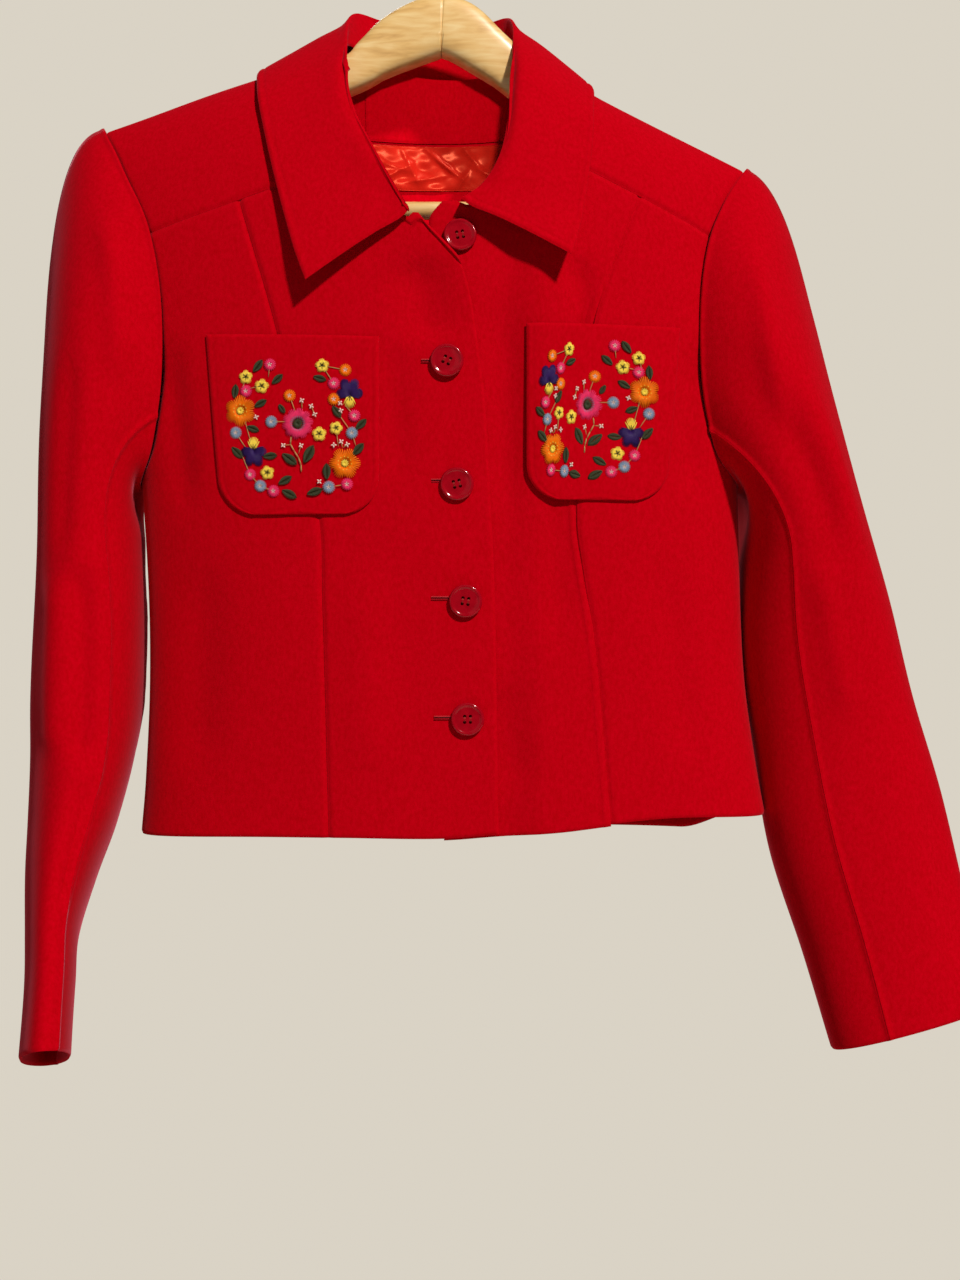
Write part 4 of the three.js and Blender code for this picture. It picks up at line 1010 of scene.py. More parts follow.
def build_cloth():
    seam, free = "seam", "free"
    all_round = {"left": free, "right": free, "top": free, "bottom": free}
    hemmed = {"left": seam, "right": seam, "top": seam, "bottom": free}
    turn = SLEEVE_SEAM_TURN
    for side in (RIGHT, LEFT):
        label = SIDE_NAME[side]
        sign = -1 if side == LEFT else 1
        relief = folds(f"front_{label}")
        if side == LEFT:
            relief = with_line(relief, ["right"], *UNDER_FRONT_LINE)
        else:
            relief = neck_band(relief)
        cloth(f"front_{label}", front_surface(side), (125, 400), sign, {**hemmed, "left": free},
              relief=relief)
        cloth(f"side_front_{label}", side_front_surface(side), (110, 400), sign, hemmed,
              relief=folds(f"side_front_{label}"))
        cloth(f"yoke_{label}", yoke_surface(side), (150, 95), sign, {**hemmed, "bottom": seam},
              relief=folds(f"yoke_{label}"), step=2.0)
        cloth(f"upper_sleeve_{label}", sleeve_surface(side, -SLEEVE_SEAM + turn, SLEEVE_SEAM - turn),
              (210, 580), -sign, hemmed, relief=folds(f"upper_sleeve_{label}"), step=2.9, reach=0.9)
        cloth(f"under_sleeve_{label}", sleeve_surface(side, SLEEVE_SEAM + turn, 360 - SLEEVE_SEAM - turn),
              (110, 430), -sign, hemmed, relief=folds(f"under_sleeve_{label}"), step=3.2, reach=0.9)
        p = POCKETS[side]
        cloth(f"pocket_{label}", pocket_surface(side),
              (abs(p["outerX"] - p["innerX"]), p["topInnerZ"] - p["bottomZ"]), sign, all_round, step=2.0,
              relief=with_line(folds("pocket"), ["left", "right", "bottom"], *POCKET_LINE))
    cloth("back", back_surface(), (470, 500), 1, hemmed, relief=folds("back"), step=3.8)
    cloth("collar", collar_surface, (520, 105), 1, all_round, step=1.8,
          relief=with_line(folds("collar"), ["left", "right", "bottom"], *COLLAR_LINE))
    facing = inside_back_surface(FACING, lambda x: along(BACK_NECK, "x", "z", x) + FACING["rise"])
    cloth("back_neck_facing", facing, (100, 40), 1, all_round, thickness=FACING["thickness"],
          relief=folds("back_neck_facing"))
    lining = inside_back_surface(LINING, lambda x: np.full_like(x, LINING["top_z"]))
    cloth("back_lining", lining, (160, 32), 1, all_round, step=1.0, thickness=SATIN, relief=satin_creases,
          finish=SATIN_RED)


SATIN_FOLDS = [  # x and z of the middle, angle in degrees, length, width, height inwards
    (-66, -166, 35, 12, 2.4, 1.6), (-47, -168, -14, 20, 2.6, 1.9), (-36, -176, 28, 11, 2.0, 1.6),
    (-24, -170, -62, 10, 2.2, 1.9), (-14, -179, 8, 13, 2.0, 1.5), (-4, -166, -40, 12, 1.9, 1.8),
    (5, -173, -36, 13, 1.7, 2.0), (13, -180, 55, 8, 1.6, 1.9), (20, -166, -48, 12, 1.8, 2.1),
    (28, -175, -30, 11, 1.7, 1.8), (37, -166, 70, 10, 1.8, 1.9), (45, -177, 40, 11, 2.0, 1.7),
    (60, -170, -20, 14, 2.6, 1.6),
]


def satin_creases(points, _normals, _distances):
    """Sharp folds pressed into the lining, over a fine crinkle."""
    x, z = points[..., 0], points[..., 2]
    total = 0.22 * np.sin(x / 3.1 + z / 2.3) + 0.18 * np.sin(z / 1.7 - x / 5.3)
    for at_x, at_z, angle, length, width, height in SATIN_FOLDS:
        c, s = math.cos(math.radians(angle)), math.sin(math.radians(angle))
        lengthways = (x - at_x) * c + (z - at_z) * s
        across = (z - at_z) * c - (x - at_x) * s
        total = total - height * bump(lengthways, length) * np.exp(-np.abs(across) / width)
    return total


# ------------------------------------------------------------------ threads laid on the cloth

RING_COUNT = 4
THREAD_ENDS, THREAD_SWELL = 0.55, 0.45  # of its radius: a thread's ends, and what its middle adds
THREAD_UNDERSIDE = 0.6
LOBE_FOOT, LOBE_ROUND = 0.17, 0.92
LEAF_THREADS = 1.3                      # for each mm of its length
LEAF_SHARE, LEAF_SLANT = 0.86, 0.17


def lay_threads(name, side, strands, lift_base):
    """Short raised threads. strands: (ax, az, bx, bz, radius, lift, colour), in mm on the front."""
    ends = np.array([row[:4] for row in strands], float)
    radius = np.array([row[4] for row in strands], float)[:, None]
    lift = np.array([row[5] for row in strands], float)[:, None]
    t = np.linspace(0, 1, RING_COUNT)
    x = lerp(ends[:, 0:1], ends[:, 2:3], t)
    z = lerp(ends[:, 1:2], ends[:, 3:4], t)
    base, normal = body_frame(x, z, FRONT, side, reach=1.5)
    centre = base + (lift_base + lift * np.sin(np.pi * t))[..., None] * normal
    tangent = unit(np.gradient(centre, axis=1))
    sideways = unit(np.cross(normal, tangent))
    thickness = (radius * (THREAD_ENDS + THREAD_SWELL * np.sin(np.pi * t)))[..., None]
    ring = [centre + thickness * sideways, centre + thickness * normal, centre - thickness * sideways,
            centre - THREAD_UNDERSIDE * thickness * normal]
    vertices = np.stack(ring, axis=2)
    count = len(strands)
    around = len(ring)
    start = (np.arange(count) * RING_COUNT * around)[:, None, None]
    j, i = np.meshgrid(np.arange(RING_COUNT - 1), np.arange(around), indexing="ij")
    a, b = j * around + i, j * around + (i + 1) % around
    side_faces = (start[..., None] + np.stack([a, b, b + around, a + around], axis=-1)).reshape(-1, 4)
    first = start[:, 0] + np.arange(around)[::-1]
    last = start[:, 0] + (RING_COUNT - 1) * around + np.arange(around)
    names = list(dict.fromkeys(row[6] for row in strands))
    slots = np.array([names.index(row[6]) for row in strands])
    piece = mesh_object(name, vertices.reshape(-1, 3), np.concatenate([side_faces, first, last]),
                        THREAD_MATERIALS[names[0]])
    for other in names[1:]:
        piece.data.materials.append(THREAD_MATERIALS[other])
    per_strand = (RING_COUNT - 1) * around
    indices = np.concatenate([np.repeat(slots, per_strand), slots, slots])
    piece.data.polygons.foreach_set("material_index", indices)
    return piece


def polar(x, z, angle, distance):
    return x + distance * math.cos(math.radians(angle)), z + distance * math.sin(math.radians(angle))


def lobe(x, z, angle, start, reach, width, colour, threads=7, notch=0.5):
    """A fan of satin stitch with a round end; notch is how far its sides fall short of the reach."""
    rows = []
    for j in range(threads):
        across = lerp(-1, 1, j / (threads - 1))
        ax, az = polar(*polar(x, z, angle, start), angle + 90, LOBE_FOOT * width * across)
        end = reach * (1 - notch + notch * math.sqrt(1 - (LOBE_ROUND * across) ** 2))
        bx, bz = polar(*polar(x, z, angle, end), angle + 90, width / 2 * across)
        rows.append((ax, az, bx, bz, 0.4, 0.4, colour))
    return rows


def petals(x, z, count, radius, turn, colour, inner, fullness, threads, notch):
    """A round of equal lobes."""
    width = 2 * radius * math.sin(math.pi / count) * fullness
    rows = []
    for k in range(count):
        rows += lobe(x, z, turn + 360 * k / count, inner * radius, radius, width, colour, threads, notch)
    return rows


def spokes(x, z, count, inner, outer, turn, colour, thickness=0.3, lift=0.6):
    """Straight stitches outwards from a centre."""
    return [(*polar(x, z, turn + 360 * k / count, inner), *polar(x, z, turn + 360 * k / count, outer),
             thickness, lift, colour) for k in range(count)]


def knot(x, z, radius, colour):
    return [(*polar(x, z, angle, radius), *polar(x, z, angle + 180, radius), 0.36, 0.7, colour)
            for angle in (0, 60, 120)]


def leaf(x, z, length, width, turn):
    """Slanting stitches on both sides of a midrib."""
    rows = []
    base_x, base_z = polar(x, z, turn + 180, length / 2)
    threads = round(length * LEAF_THREADS)
    for k in range(threads):
        t = (k + 0.5) / threads
        ax, az = polar(base_x, base_z, turn, length * t * LEAF_SHARE)
        for hand in (-1, 1):
            reach = width / 2 * math.sin(math.pi * min(1, 0.06 + t)) ** 0.6
            outward = polar(base_x, base_z, turn, length * min(1, t * LEAF_SHARE + LEAF_SLANT))
            bx, bz = polar(*outward, turn + 90 * hand, reach)
            rows.append((ax, az, bx, bz, 0.42, 0.3, "green"))
    return rows


def stem(points, colour, radius=0.4):
    return [(*a, *b, radius, 0.25, colour) for a, b in zip(points[:-1], points[1:])]


def blossom(x, z, turn):
    """A tiny pale flower of four stitches."""
    return spokes(x, z, 4, 0.2, 1.75, turn, "pale", 0.5, 0.5)


def rosette(x, z, radius, colour):
    return (spokes(x, z, 18, 0.1 * radius, radius, 8, colour, 0.48, 0.4)
            + spokes(x, z, 5, 0.0, 0.5 * radius, 20, "pale", 0.24, 0.95))


def star(x, z, radius, turn):
    return petals(x, z, 5, radius, turn, "yellow", 0.12, 0.86, 6, 0.62) + spokes(
        x, z, 5, 0.0, 0.62 * radius, turn + 36, "green", 0.24, 0.95)


def big_flower(x, z, radius, turn):
    rows = (petals(x, z, 6, radius, turn, "orange", 0.24, 0.86, 8, 0.5)
            + spokes(x, z, 6, 0.35 * radius, 0.86 * radius, turn + 30, "rust", 0.22, 0.5)
            + spokes(x, z, 12, 0.0, 0.27 * radius, turn, "yellow", 0.4, 0.8))
    for k in range(11):
        rows += knot(*polar(x, z, turn + 360 * k / 11, 0.42 * radius), 0.45, "yellow")
    return rows


def pansy(x, z, radius, turn):
    """Four dark lobes and a round yellow one, which points along turn."""
    rows = []
    for angle, reach, width in ((98, 1.05, 0.85), (-98, 1.05, 0.85), (156, 1.3, 0.8), (-156, 1.3, 0.8)):
        rows += lobe(x, z, turn + angle, 0.0, reach * radius, width * radius, "purple", 10, 0.45)
    rows += lobe(x, z, turn, 0.12 * radius, 1.1 * radius, 0.92 * radius, "yellow", 9, 0.5)
    for angle in (-24, 0, 24):
        foot, tip = polar(x, z, turn, 0.1 * radius), polar(x, z, turn + angle, 0.66 * radius)
        rows.append((*foot, *tip, 0.2, 1.0, "green"))
    return rows


def daisy(x, z, radius):
    return (petals(x, z, 10, radius, 9, "pink", 0.34, 0.94, 6, 0.34)
            + spokes(x, z, 20, 0.32 * radius, 0.54 * radius, 0, "blue", 0.17, 0.8)
            + spokes(x, z, 16, 0.0, 0.36 * radius, 0, "green", 0.42, 0.8))


# A garland, open at the top, round one daisy on a stem. Angle and distance are from the middle of the
# garland, anticlockwise from the viewer's right; turn is the way that a motif points, both in degrees.
GARLAND = [  # kind, angle, distance, size, turn
    ("leaf", 122, 45.5, 7.0, 52), ("leaf", 111.5, 32.3, 6.6, 40), ("leaf", 149, 45, 6.8, 84),
    ("leaf", 146, 27.1, 6.6, 28), ("leaf", 181, 27.2, 6.4, -20), ("leaf", 202, 40.2, 7.4, -46),
    ("leaf", 227, 24, 6.8, 5), ("leaf", 258, 33.6, 7.2, 29), ("leaf", 264, 41.6, 7.8, -28),
    ("leaf", 128, 14.6, 5.2, -57), ("leaf", 258, 20.2, 8.6, -37), ("leaf", 295, 18.5, 9.2, 62),
    ("leaf", 64, 33.4, 6.4, -16), ("leaf", 20, 26.8, 6.8, -55), ("leaf", 2, 40.3, 6.8, 43),
    ("leaf", 340, 41, 7.4, 47), ("leaf", 304.5, 33.5, 7.6, 92), ("leaf", 286, 41.7, 7.6, 18),
    ("pink", 113, 42.5, 3.9, 0), ("star", 135, 45, 4.5, 90), ("star", 130, 33.8, 4.7, 80),
    ("pink", 144, 39.2, 3.9, 0), ("orange", 163, 36.9, 9.9, 90), ("blue", 184, 38.3, 3.9, 0),
    ("pansy", 208, 30.4, 7.9, 90), ("pink", 225, 41, 3.8, 0), ("star", 237, 33.4, 4.6, 100),
    ("blue", 238, 42.6, 3.9, 0), ("pink", 250, 42, 3.9, 0), ("round", 102, 20, 3.9, 0),
    ("blue", 167, 16.1, 3.9, 0), ("daisy", 68, 2.3, 9.9, 0), ("star", 343, 15, 4.7, 90),
    ("star", 358, 24.8, 4.3, 70), ("star", 67, 41.2, 4.5, 95), ("round", 49, 46.4, 3.9, 0),
    ("pink", 49, 35.5, 3.9, 0), ("pansy", 31, 38.7, 7.9, 270), ("round", 36, 28.9, 3.9, 0),
    ("pink", 10.5, 36.7, 3.9, 0), ("blue", 353.5, 34.8, 3.9, 0), ("orange", 323, 37.8, 9.9, 60),
    ("blue", 298.5, 42.5, 4.0, 0), ("pink", 311.5, 47.6, 3.9, 0),
    ("blossom", 165, 26, 1, 20), ("blossom", 78, 16.8, 1, 30), ("blossom", 54, 15.9, 1, 60),
    ("blossom", 34, 13.9, 1, 25), ("blossom", 234, 13.8, 1, 40), ("blossom", 285, 11.8, 1, 30),
    ("blossom", 28, 30.9, 1, 50),
    ("blossom", 19.6, 29.5, 1, 20), ("blossom", 334, 26, 1, 0), ("blossom", 341.6, 29.5, 1, 35),
    ("blossom", 340.7, 33.6, 1, 15), ("blossom", 293, 36.8, 1, 45),
]
DAISY_STEM = [(-3.2, -6), (-3.6, -10.5), (-1.2, -14.8), (1.4, -18.8), (3.0, -23.2), (3.2, -27.6)]
STEMS = [  # colour, angle and distance of both ends
    ("tan", (135, 45), (147, 41)), ("tan", (130, 33.8), (141, 39)), ("tan", (113, 42.5), (119, 36)),
    ("tan", (170, 33), (200, 30)), ("tan", (184, 38.3), (201, 34)), ("tan", (205, 38), (225, 41)),
    ("tan", (225, 41), (238, 42.6)), ("tan", (238, 42.6), (250, 42)), ("tan", (102, 20), (92, 9)),
    ("tan", (167, 16.1), (150, 7)), ("tan", (67, 41.2), (49, 46.4)), ("tan", (67, 41.2), (49, 35.5)),
    ("tan", (24, 33), (10.5, 36.7)), ("tan", (20, 27), (353.5, 34.8)), ("tan", (353.5, 34.8), (342, 39)),
    ("tan", (358, 24.8), (335, 29)), ("tan", (311.5, 47.6), (298.5, 42.5)), ("tan", (234, 13.8), (252, 11.4)),
    ("tan", (285, 11.8), (275, 16.6)), ("tan", (78, 16.8), (72, 12)), ("tan", (54, 15.9), (34, 13.9)),
    ("tan", (341.6, 29.5), (336, 31.5)), ("tan", (340.7, 33.6), (336, 32)),
]
# Middle x and z of each garland, how much the cloth's turning away narrows it towards the front edge, and
# how far it sinks there for each millimetre.
GARLANDS = {
    RIGHT: {"x": -88.7, "z": -368, "narrow": 1.0, "sink": 0.0},
    LEFT: {"x": 91.8, "z": -356, "narrow": 0.73, "sink": 0.1},
}
MOTIFS = {
    "leaf": lambda x, z, size, turn: leaf(x, z, 1.38 * size, 0.68 * size, turn),
    "pink": lambda x, z, size, turn: rosette(x, z, size, "pink"),
    "blue": lambda x, z, size, turn: rosette(x, z, size, "blue"),
    "round": lambda x, z, size, turn: rosette(x, z, size, "orange"),
    "star": star,
    "orange": big_flower,
    "pansy": pansy,
    "daisy": lambda x, z, size, turn: daisy(x, z, size),
    "blossom": lambda x, z, size, turn: blossom(x, z, turn),
}


def build_embroidery():
    for side, garland in GARLANDS.items():
        def placed(x, z):
            """A point of the garland on the front; the two garlands mirror each other."""
            inward = max(0.0, x)
            across = x - (1 - garland["narrow"]) * inward
            return garland["x"] - side * across, garland["z"] + z - garland["sink"] * inward

        rows = []
        for colour, start, end in STEMS:
            rows += stem([polar(0, 0, *start), polar(0, 0, *end)], colour, 0.3)
        rows += stem(DAISY_STEM, "tan", 0.5)
        for kind, angle, distance, size, turn in GARLAND:
            rows += MOTIFS[kind](*polar(0, 0, angle, distance), size, turn)
        strands = [(*placed(ax, az), *placed(bx, bz), *rest) for ax, az, bx, bz, *rest in rows]
        lay_threads(f"embroidery_{SIDE_NAME[side]}", side, strands, EMBROIDERY_LIFT)


EMBROIDERY_LIFT = POCKET_WALL + SEAM_GAP + 0.5
STITCH = {"per_mm": 2, "near": 0.25, "far": 1.3, "slant": 0.1, "radius": 0.3}
BUTTONHOLE_LIFT = 0.45


def build_buttonholes():
    """Worked slits in the lapping front, one beside each button that it buttons over."""
    for k, ((start, z), (button_x, _, _)) in enumerate(zip(BUTTONHOLES, BUTTONS[1:]), start=2):
        rows = []
        end = button_x - BUTTON["radius"] / 2
        near, far, slant, radius = (STITCH[key] for key in ("near", "far", "slant", "radius"))
        count = round((end - start) * STITCH["per_mm"])
        for j in range(count):
            at = lerp(start, end, j / (count - 1))
            # The upper row of stitches takes a lighter copy of the red thread, a painted highlight; the lower
            # row takes the wool's red.
            rows.append((at, z + near, at + slant, z + far, radius, 0.3, "lip"))
            rows.append((at, z - far, at + slant, z - near, radius, 0.2, "red"))
        # A dark strand along the slit is painted shade, standing in for the shaded opening of the cut.
        rows.append((start, z, end, z, radius, 0.0, "painted_slit_shade"))
        lay_threads(f"buttonhole_{k}", RIGHT, rows, BUTTONHOLE_LIFT)


# ------------------------------------------------------------------ buttons, hanger and hook

def turned_solid(profile, segments):
    """A solid of revolution about +Y from (radius, height) rows that start and end on the axis."""
    angles = np.linspace(0, 2 * math.pi, segments, endpoint=False)
    rings = [np.stack([r * np.cos(angles), np.full(segments, h), r * np.sin(angles)], axis=1)
             for r, h in profile[1:-1]]
    vertices = np.concatenate([*rings, [(0, profile[0][1], 0), (0, profile[-1][1], 0)]])
    faces = []
    for j in range(len(rings) - 1):
        for i in range(segments):
            a, b = j * segments + i, j * segments + (i + 1) % segments
            faces.append((a, a + segments, b + segments, b))
    bottom, top = len(vertices) - 2, len(vertices) - 1
    last = (len(rings) - 1) * segments
    for i in range(segments):
        following = (i + 1) % segments
        faces.append((bottom, i, following))
        faces.append((top, last + following, last + i))
    return vertices, faces


BUTTON_LIFT = SEAM_GAP + 0.1
BUTTON_THREAD = {"radius": 0.26, "around": 6, "spread": 0.3, "arch": 0.3, "dip": 0.1, "tail": 2.0}
SHARP_EDGE = {"button": 40, "bar": 50, "hook": 60}      # degrees


def button_face():
    """Height of the middle of the dish."""
    return BUTTON["thickness"] - BUTTON["dish"] * 1.05


def button_profile():
    """Half the button's section as (radius, height) rows, from the middle of its underside to its face."""
    b = BUTTON
    r, t, rim = b["radius"], b["thickness"], b["rim"]
    face = button_face()
    return [(0, 0), (r * 0.5, 0), (r * 0.72, 0.02), (r * 0.94, t * 0.28), (r, t * 0.58),
            (r - rim * 0.1, t * 0.8), (r - rim * 0.35, t * 0.95), (r - rim * 0.7, t), (r - rim, t * 0.93),
            (r - rim * 1.25, t - b["dish"] * 0.8), (r - rim * 1.6, t - b["dish"]), (r * 0.45, face),
            (b["holeOffset"] * 0.4, face), (0, face)]


def build_buttons():
    for k, (x, z, side) in enumerate(BUTTONS, start=1):
        point, normal = body_frame(np.float64(x), np.float64(z), FRONT, side)
        vertices, faces = turned_solid(button_profile(), 64)
        up = np.array(normal)
        across = unit(np.cross(up, np.array([0.0, 0.0, 1.0])))
        other = np.cross(across, up)
        turn = math.radians(BUTTON_TURNS[k - 1])
        basis = np.stack([math.cos(turn) * across - math.sin(turn) * other, up,
                          math.sin(turn) * across + math.cos(turn) * other])
        origin = point + BUTTON_LIFT * normal
        piece = mesh_object(f"red_button_{k}", origin + vertices @ basis, faces, BUTTON_RED)
        cut_holes(piece, origin, basis)
        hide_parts(f"button_{k}")
        thread_button(k, origin, basis, button_face())


def cut_holes(piece, origin, basis):
    b = BUTTON
    angles = np.linspace(0, 2 * math.pi, 16, endpoint=False)
    vertices, faces = [], []
    for i in (-1, 1):
        for j in (-1, 1):
            start = len(vertices)
            for height in (-1, b["thickness"] + 1):
                for a in angles:
                    local = np.array([i * b["holeOffset"] + b["hole"] * math.cos(a), height,
                                      j * b["holeOffset"] + b["hole"] * math.sin(a)])
                    vertices.append(origin + local @ basis)
            n = len(angles)
            faces += [(start + m, start + n + m, start + n + (m + 1) % n, start + (m + 1) % n)
                      for m in range(n)]
            faces += [tuple(start + m for m in range(n)), tuple(start + n + m for m in reversed(range(n)))]
    mesh = bpy.data.meshes.new("hole_tool")
    mesh.from_pydata((np.array(vertices) * MM).tolist(), [], faces)
    tool = bpy.data.objects.new("hole_tool", mesh)
    bpy.context.scene.collection.objects.link(tool)
    cut = piece.modifiers.new("holes", "BOOLEAN")
    cut.operation = "DIFFERENCE"
    cut.solver = "EXACT"
    cut.object = tool
    bpy.context.view_layer.update()
    evaluated = piece.evaluated_get(bpy.context.evaluated_depsgraph_get())
    piece.data = bpy.data.meshes.new_from_object(evaluated)
    piece.modifiers.clear()
    piece.data.shade_smooth()
    piece.data.set_sharp_from_angle(angle=math.radians(SHARP_EDGE["button"]))
    bpy.data.objects.remove(tool)


def thread_button(k, origin, basis, top):
    """Two bars of thread over the dish and the tails down through the holes."""
    thread = BUTTON_THREAD
    tail, dip = thread["tail"], thread["dip"]
    inside = BUTTON["holeOffset"] - 0.6 * BUTTON["hole"]
    rows = []
    for j in (-1, 1):
        for spread in (-thread["spread"], thread["spread"]):
            path = [(-inside, top - tail), (-inside, top - dip), (0, top + thread["arch"]),
                    (inside, top - dip), (inside, top - tail)]
            rows.append([(j * BUTTON["holeOffset"] + spread, h, z) for z, h in path])
    vertices, faces = [], []
    for path in rows:
        tube_vertices, tube_faces = tube(np.array(path, float), thread["radius"], thread["around"])
        faces += [tuple(index + len(vertices) for index in face) for face in tube_faces]
        vertices += list(origin + tube_vertices @ basis)
    mesh_object(f"button_thread_{k}", vertices, faces, THREAD_MATERIALS["button"])


def tube(path, radius, around):
    """A round tube with flat ends along a path of points; radius may be a number for each point."""
    tangents = unit(np.gradient(path, axis=0))
    reference = np.array([0.0, 1.0, 0.0]) if abs(tangents[0][1]) < 0.8 else np.array([0.0, 0.0, 1.0])
    first = unit(np.cross(tangents, reference))
    second = np.cross(tangents, first)
    angles = np.linspace(0, 2 * math.pi, around, endpoint=False)
    circle = np.cos(angles)[:, None] * first[:, None] + np.sin(angles)[:, None] * second[:, None]
    radius = np.broadcast_to(radius, len(path))[:, None, None]
    vertices = (path[:, None] + radius * circle).reshape(-1, 3)
    faces = []
    for j in range(len(path) - 1):
        for i in range(around):
            a, b = j * around + i, j * around + (i + 1) % around
            faces.append((a, b, b + around, a + around))
    last = (len(path) - 1) * around
    faces.append(tuple(range(around))[::-1])
    faces.append(tuple(last + i for i in range(around)))
    return vertices, faces


JOINT_REACH = 0.15      # rows of ARMS beside the joint of the two arms that get finer rings
JOINT_RINGS, ARM_RINGS, BAR_RINGS = 25, 220, 60
ARM_AROUND, BAR_AROUND, HOOK_AROUND = 40, 32, 20
ARM_POWER = 0.55        # below 1 squares the arms' section
GROOVE_DEPTH, GROOVE_WIDTH = 0.05, 0.45
HOOK_NECK = [(0, -64), (0, -52), (3.5, -44), (10.5, -36.5)]
HOOK_ANGLES = range(-38, 201, 17)
HOOK_POINTS = 180
HOOK_END = (0.98, 0.85, 0.6, 0.25)


def build_hanger():
    rows = len(ARMS["x"])
    middle = float(np.argmin(np.abs(ARMS["x"])))
    near_joint = np.linspace(middle - JOINT_REACH, middle + JOINT_REACH, JOINT_RINGS)
    place = np.sort(np.concatenate([np.linspace(0, rows - 1, ARM_RINGS), near_joint]))
    keys = np.arange(rows, dtype=float)
    x, z, height, thick = (smooth_value(keys, ARMS[c], place) for c in ("x", "z", "height", "thick"))
    path = np.stack([x, np.zeros_like(x), z], axis=1)
    direction = unit(np.gradient(path, axis=0))
    up = np.stack([-direction[:, 2], np.zeros_like(x), direction[:, 0]], axis=1)
    groove = 1 - GROOVE_DEPTH * bump(x, GROOVE_WIDTH)
    around = ARM_AROUND
    angles = np.linspace(0, 2 * math.pi, around, endpoint=False)
    across, upward = (np.sign(wave) * np.abs(wave) ** ARM_POWER for wave in (np.cos(angles), np.sin(angles)))
    vertices = (path[:, None]
                + up[:, None] * (upward[None] * (groove * height / 2)[:, None])[..., None]
                + np.array([0.0, 1.0, 0.0]) * (across[None] * (groove * thick / 2)[:, None])[..., None])
    faces = [tuple(face) for face in grid_wrap(len(x), around)]
    last = (len(x) - 1) * around
    faces += [tuple(range(around)), tuple(last + i for i in reversed(range(around)))]
    piece = mesh_object("wood_arms", vertices.reshape(-1, 3), faces, WOOD)
    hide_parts("hanger_arms")
    from_x = ARMS["x"][0] + ARMS["height"][0] / 2 + BAR["endGap"]
    to_x = ARMS["x"][-1] - ARMS["height"][-1] / 2 - BAR["endGap"]
    bar_path = np.stack([np.linspace(from_x, to_x, BAR_RINGS), np.zeros(BAR_RINGS),
                         np.full(BAR_RINGS, BAR["z"])], axis=1)
    bar_vertices, bar_faces = tube(bar_path, BAR["radius"], BAR_AROUND)
    bar = mesh_object("wood_bar", bar_vertices, bar_faces, WOOD)
    bar.data.set_sharp_from_angle(angle=math.radians(SHARP_EDGE["bar"]))
    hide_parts("trouser_bar")


def grid_wrap(rings, around):
    """Quads round a tube of rings."""
    j, i = np.meshgrid(np.arange(rings - 1), np.arange(around), indexing="ij")
    a = (j * around + i).ravel()
    b = (j * around + (i + 1) % around).ravel()
    return np.stack([a, a + around, b + around, b], axis=1)


def build_hook():
    radius = HOOK["inner"] + HOOK["wire"]
    points = [(0, HOOK["stemFoot"]), *HOOK_NECK]
    points += [(radius * math.cos(math.radians(a)), -HOOK["inner"] + radius * math.sin(math.radians(a)))
               for a in HOOK_ANGLES]
    rows = np.array([(x, 0, z) for x, z in points], float)
    path = centripetal(rows, np.linspace(0, 1, HOOK_POINTS))
    around_end = np.ones(len(path))
    around_end[-len(HOOK_END):] = HOOK_END
    vertices, faces = tube(path, HOOK["wire"] * around_end, HOOK_AROUND)
    piece = mesh_object("wire_hook", vertices, faces, STEEL)
    piece.data.set_sharp_from_angle(angle=math.radians(SHARP_EDGE["hook"]))
    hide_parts("hook")


# ------------------------------------------------------------------ camera, light and room

FLOOR = {"z": -1.75, "half_size": 2.6, "far_y": 1.5, "near_y": -2.8}     # metres, as all that follows
CAMERA = {"lens": 38.56, "sensor": 36.0, "place": (0.025, -0.910, -0.500)}
MIDDLE = (0.03, -0.03, -0.42)
NECK_LIGHT = ((0.14, -1.0, -0.2), (0.0, 0.03, -0.15), 0.06, 8.5, (1.0, 0.95, 0.88))     # place, aim and so on
ROOM_COLOUR, ROOM_STRENGTH = (0.95, 0.97, 1.0, 1), 0.06
BACKDROP_COLOUR = (0.70, 0.65, 0.56, 1)
LIGHTS = [  # name, place, size, watts, colour; all aimed at the middle
    ("key", (2.56, -4.43, 3.65), 0.6, 430, (1.0, 0.94, 0.9)),
    ("fill", (-1.2, -2.2, 0.2), 2.4, 3.0, (0.95, 0.97, 1.0)),
    ("top", (0.0, -0.6, 1.8), 1.6, 1.0, (1.0, 1.0, 1.0)),
    ("back", (-0.9, 2.4, 1.0), 1.6, 45, (1.0, 0.97, 0.93)),
]


def build_floor():
    """A plain pale floor, a hanging garment's height below the rail."""
    z, half_size, far_y, near_y = (FLOOR[key] for key in ("z", "half_size", "far_y", "near_y"))
    corners = [(-half_size, near_y, z), (half_size, near_y, z), (half_size, far_y, z), (-half_size, far_y, z)]
    mesh = bpy.data.meshes.new("floor")
    mesh.from_pydata(corners, [], [(0, 1, 2, 3)])
    pale = mottled("floor_pale", (0.66, 0.61, 0.53), (0.72, 0.67, 0.59), 0.95, 6, [(40, 0.1, 1.0)])
    mesh.materials.append(pale)
    floor = bpy.data.objects.new("floor", mesh)
    bpy.context.scene.collection.objects.link(floor)


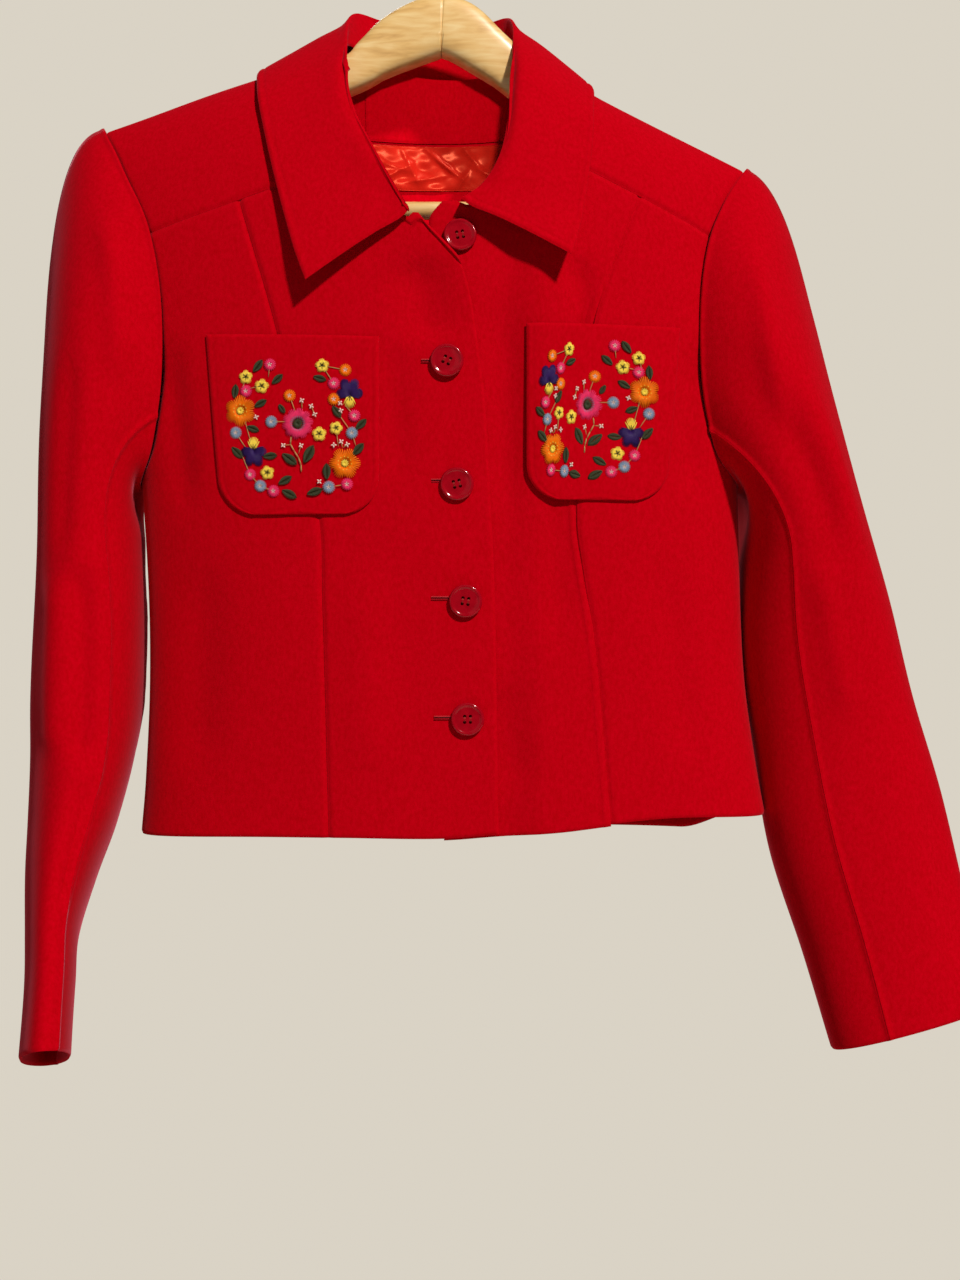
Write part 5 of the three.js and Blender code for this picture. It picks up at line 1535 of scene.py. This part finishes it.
def area_light(name, place, aim, size, energy, colour):
    data = bpy.data.lights.new(name, "AREA")
    data.shape = "DISK"
    data.size = size
    data.energy = energy
    data.color = colour
    light = bpy.data.objects.new(name, data)
    light.location = place
    direction = Vector(aim) - Vector(place)
    light.rotation_euler = direction.to_track_quat("-Z", "Y").to_euler()
    bpy.context.scene.collection.objects.link(light)
    return light


def build_camera_and_light():
    scene = bpy.context.scene
    data = bpy.data.cameras.new("camera")
    data.lens = CAMERA["lens"]
    data.sensor_width = CAMERA["sensor"]
    camera = bpy.data.objects.new("camera", data)
    camera.location = CAMERA["place"]
    camera.rotation_euler = (math.pi / 2, 0, 0)
    scene.collection.objects.link(camera)
    scene.camera = camera
    for name, place, size, watts, colour in LIGHTS:
        area_light(name, place, MIDDLE, size, watts, colour)
    neck = area_light("neck", *NECK_LIGHT)
    inside = bpy.data.collections.new("inside_neck")
    for name in ("cloth_back_neck_facing", "cloth_back_lining", "cloth_back"):
        inside.objects.link(bpy.data.objects[name])
    neck.light_linking.receiver_collection = inside
    scene.world = studio_world()
    scene.view_settings.view_transform = "Standard"


def studio_world():
    """A pale backdrop all round, which lights the jacket only a little."""
    world = bpy.data.worlds.new("world")
    world.use_nodes = True
    tree = world.node_tree
    dim = tree.nodes["Background"]
    dim.inputs["Color"].default_value = ROOM_COLOUR
    dim.inputs["Strength"].default_value = ROOM_STRENGTH
    backdrop = tree.nodes.new("ShaderNodeBackground")
    backdrop.inputs["Color"].default_value = BACKDROP_COLOUR
    mix = tree.nodes.new("ShaderNodeMixShader")
    seen = tree.nodes.new("ShaderNodeLightPath").outputs["Is Camera Ray"]
    tree.links.new(seen, mix.inputs["Fac"])
    tree.links.new(dim.outputs["Background"], mix.inputs[1])
    tree.links.new(backdrop.outputs["Background"], mix.inputs[2])
    tree.links.new(mix.outputs["Shader"], tree.nodes["World Output"].inputs["Surface"])
    return world


build_floor()
build_cloth()
build_embroidery()
build_buttonholes()
build_buttons()
build_hanger()
build_hook()
build_camera_and_light()
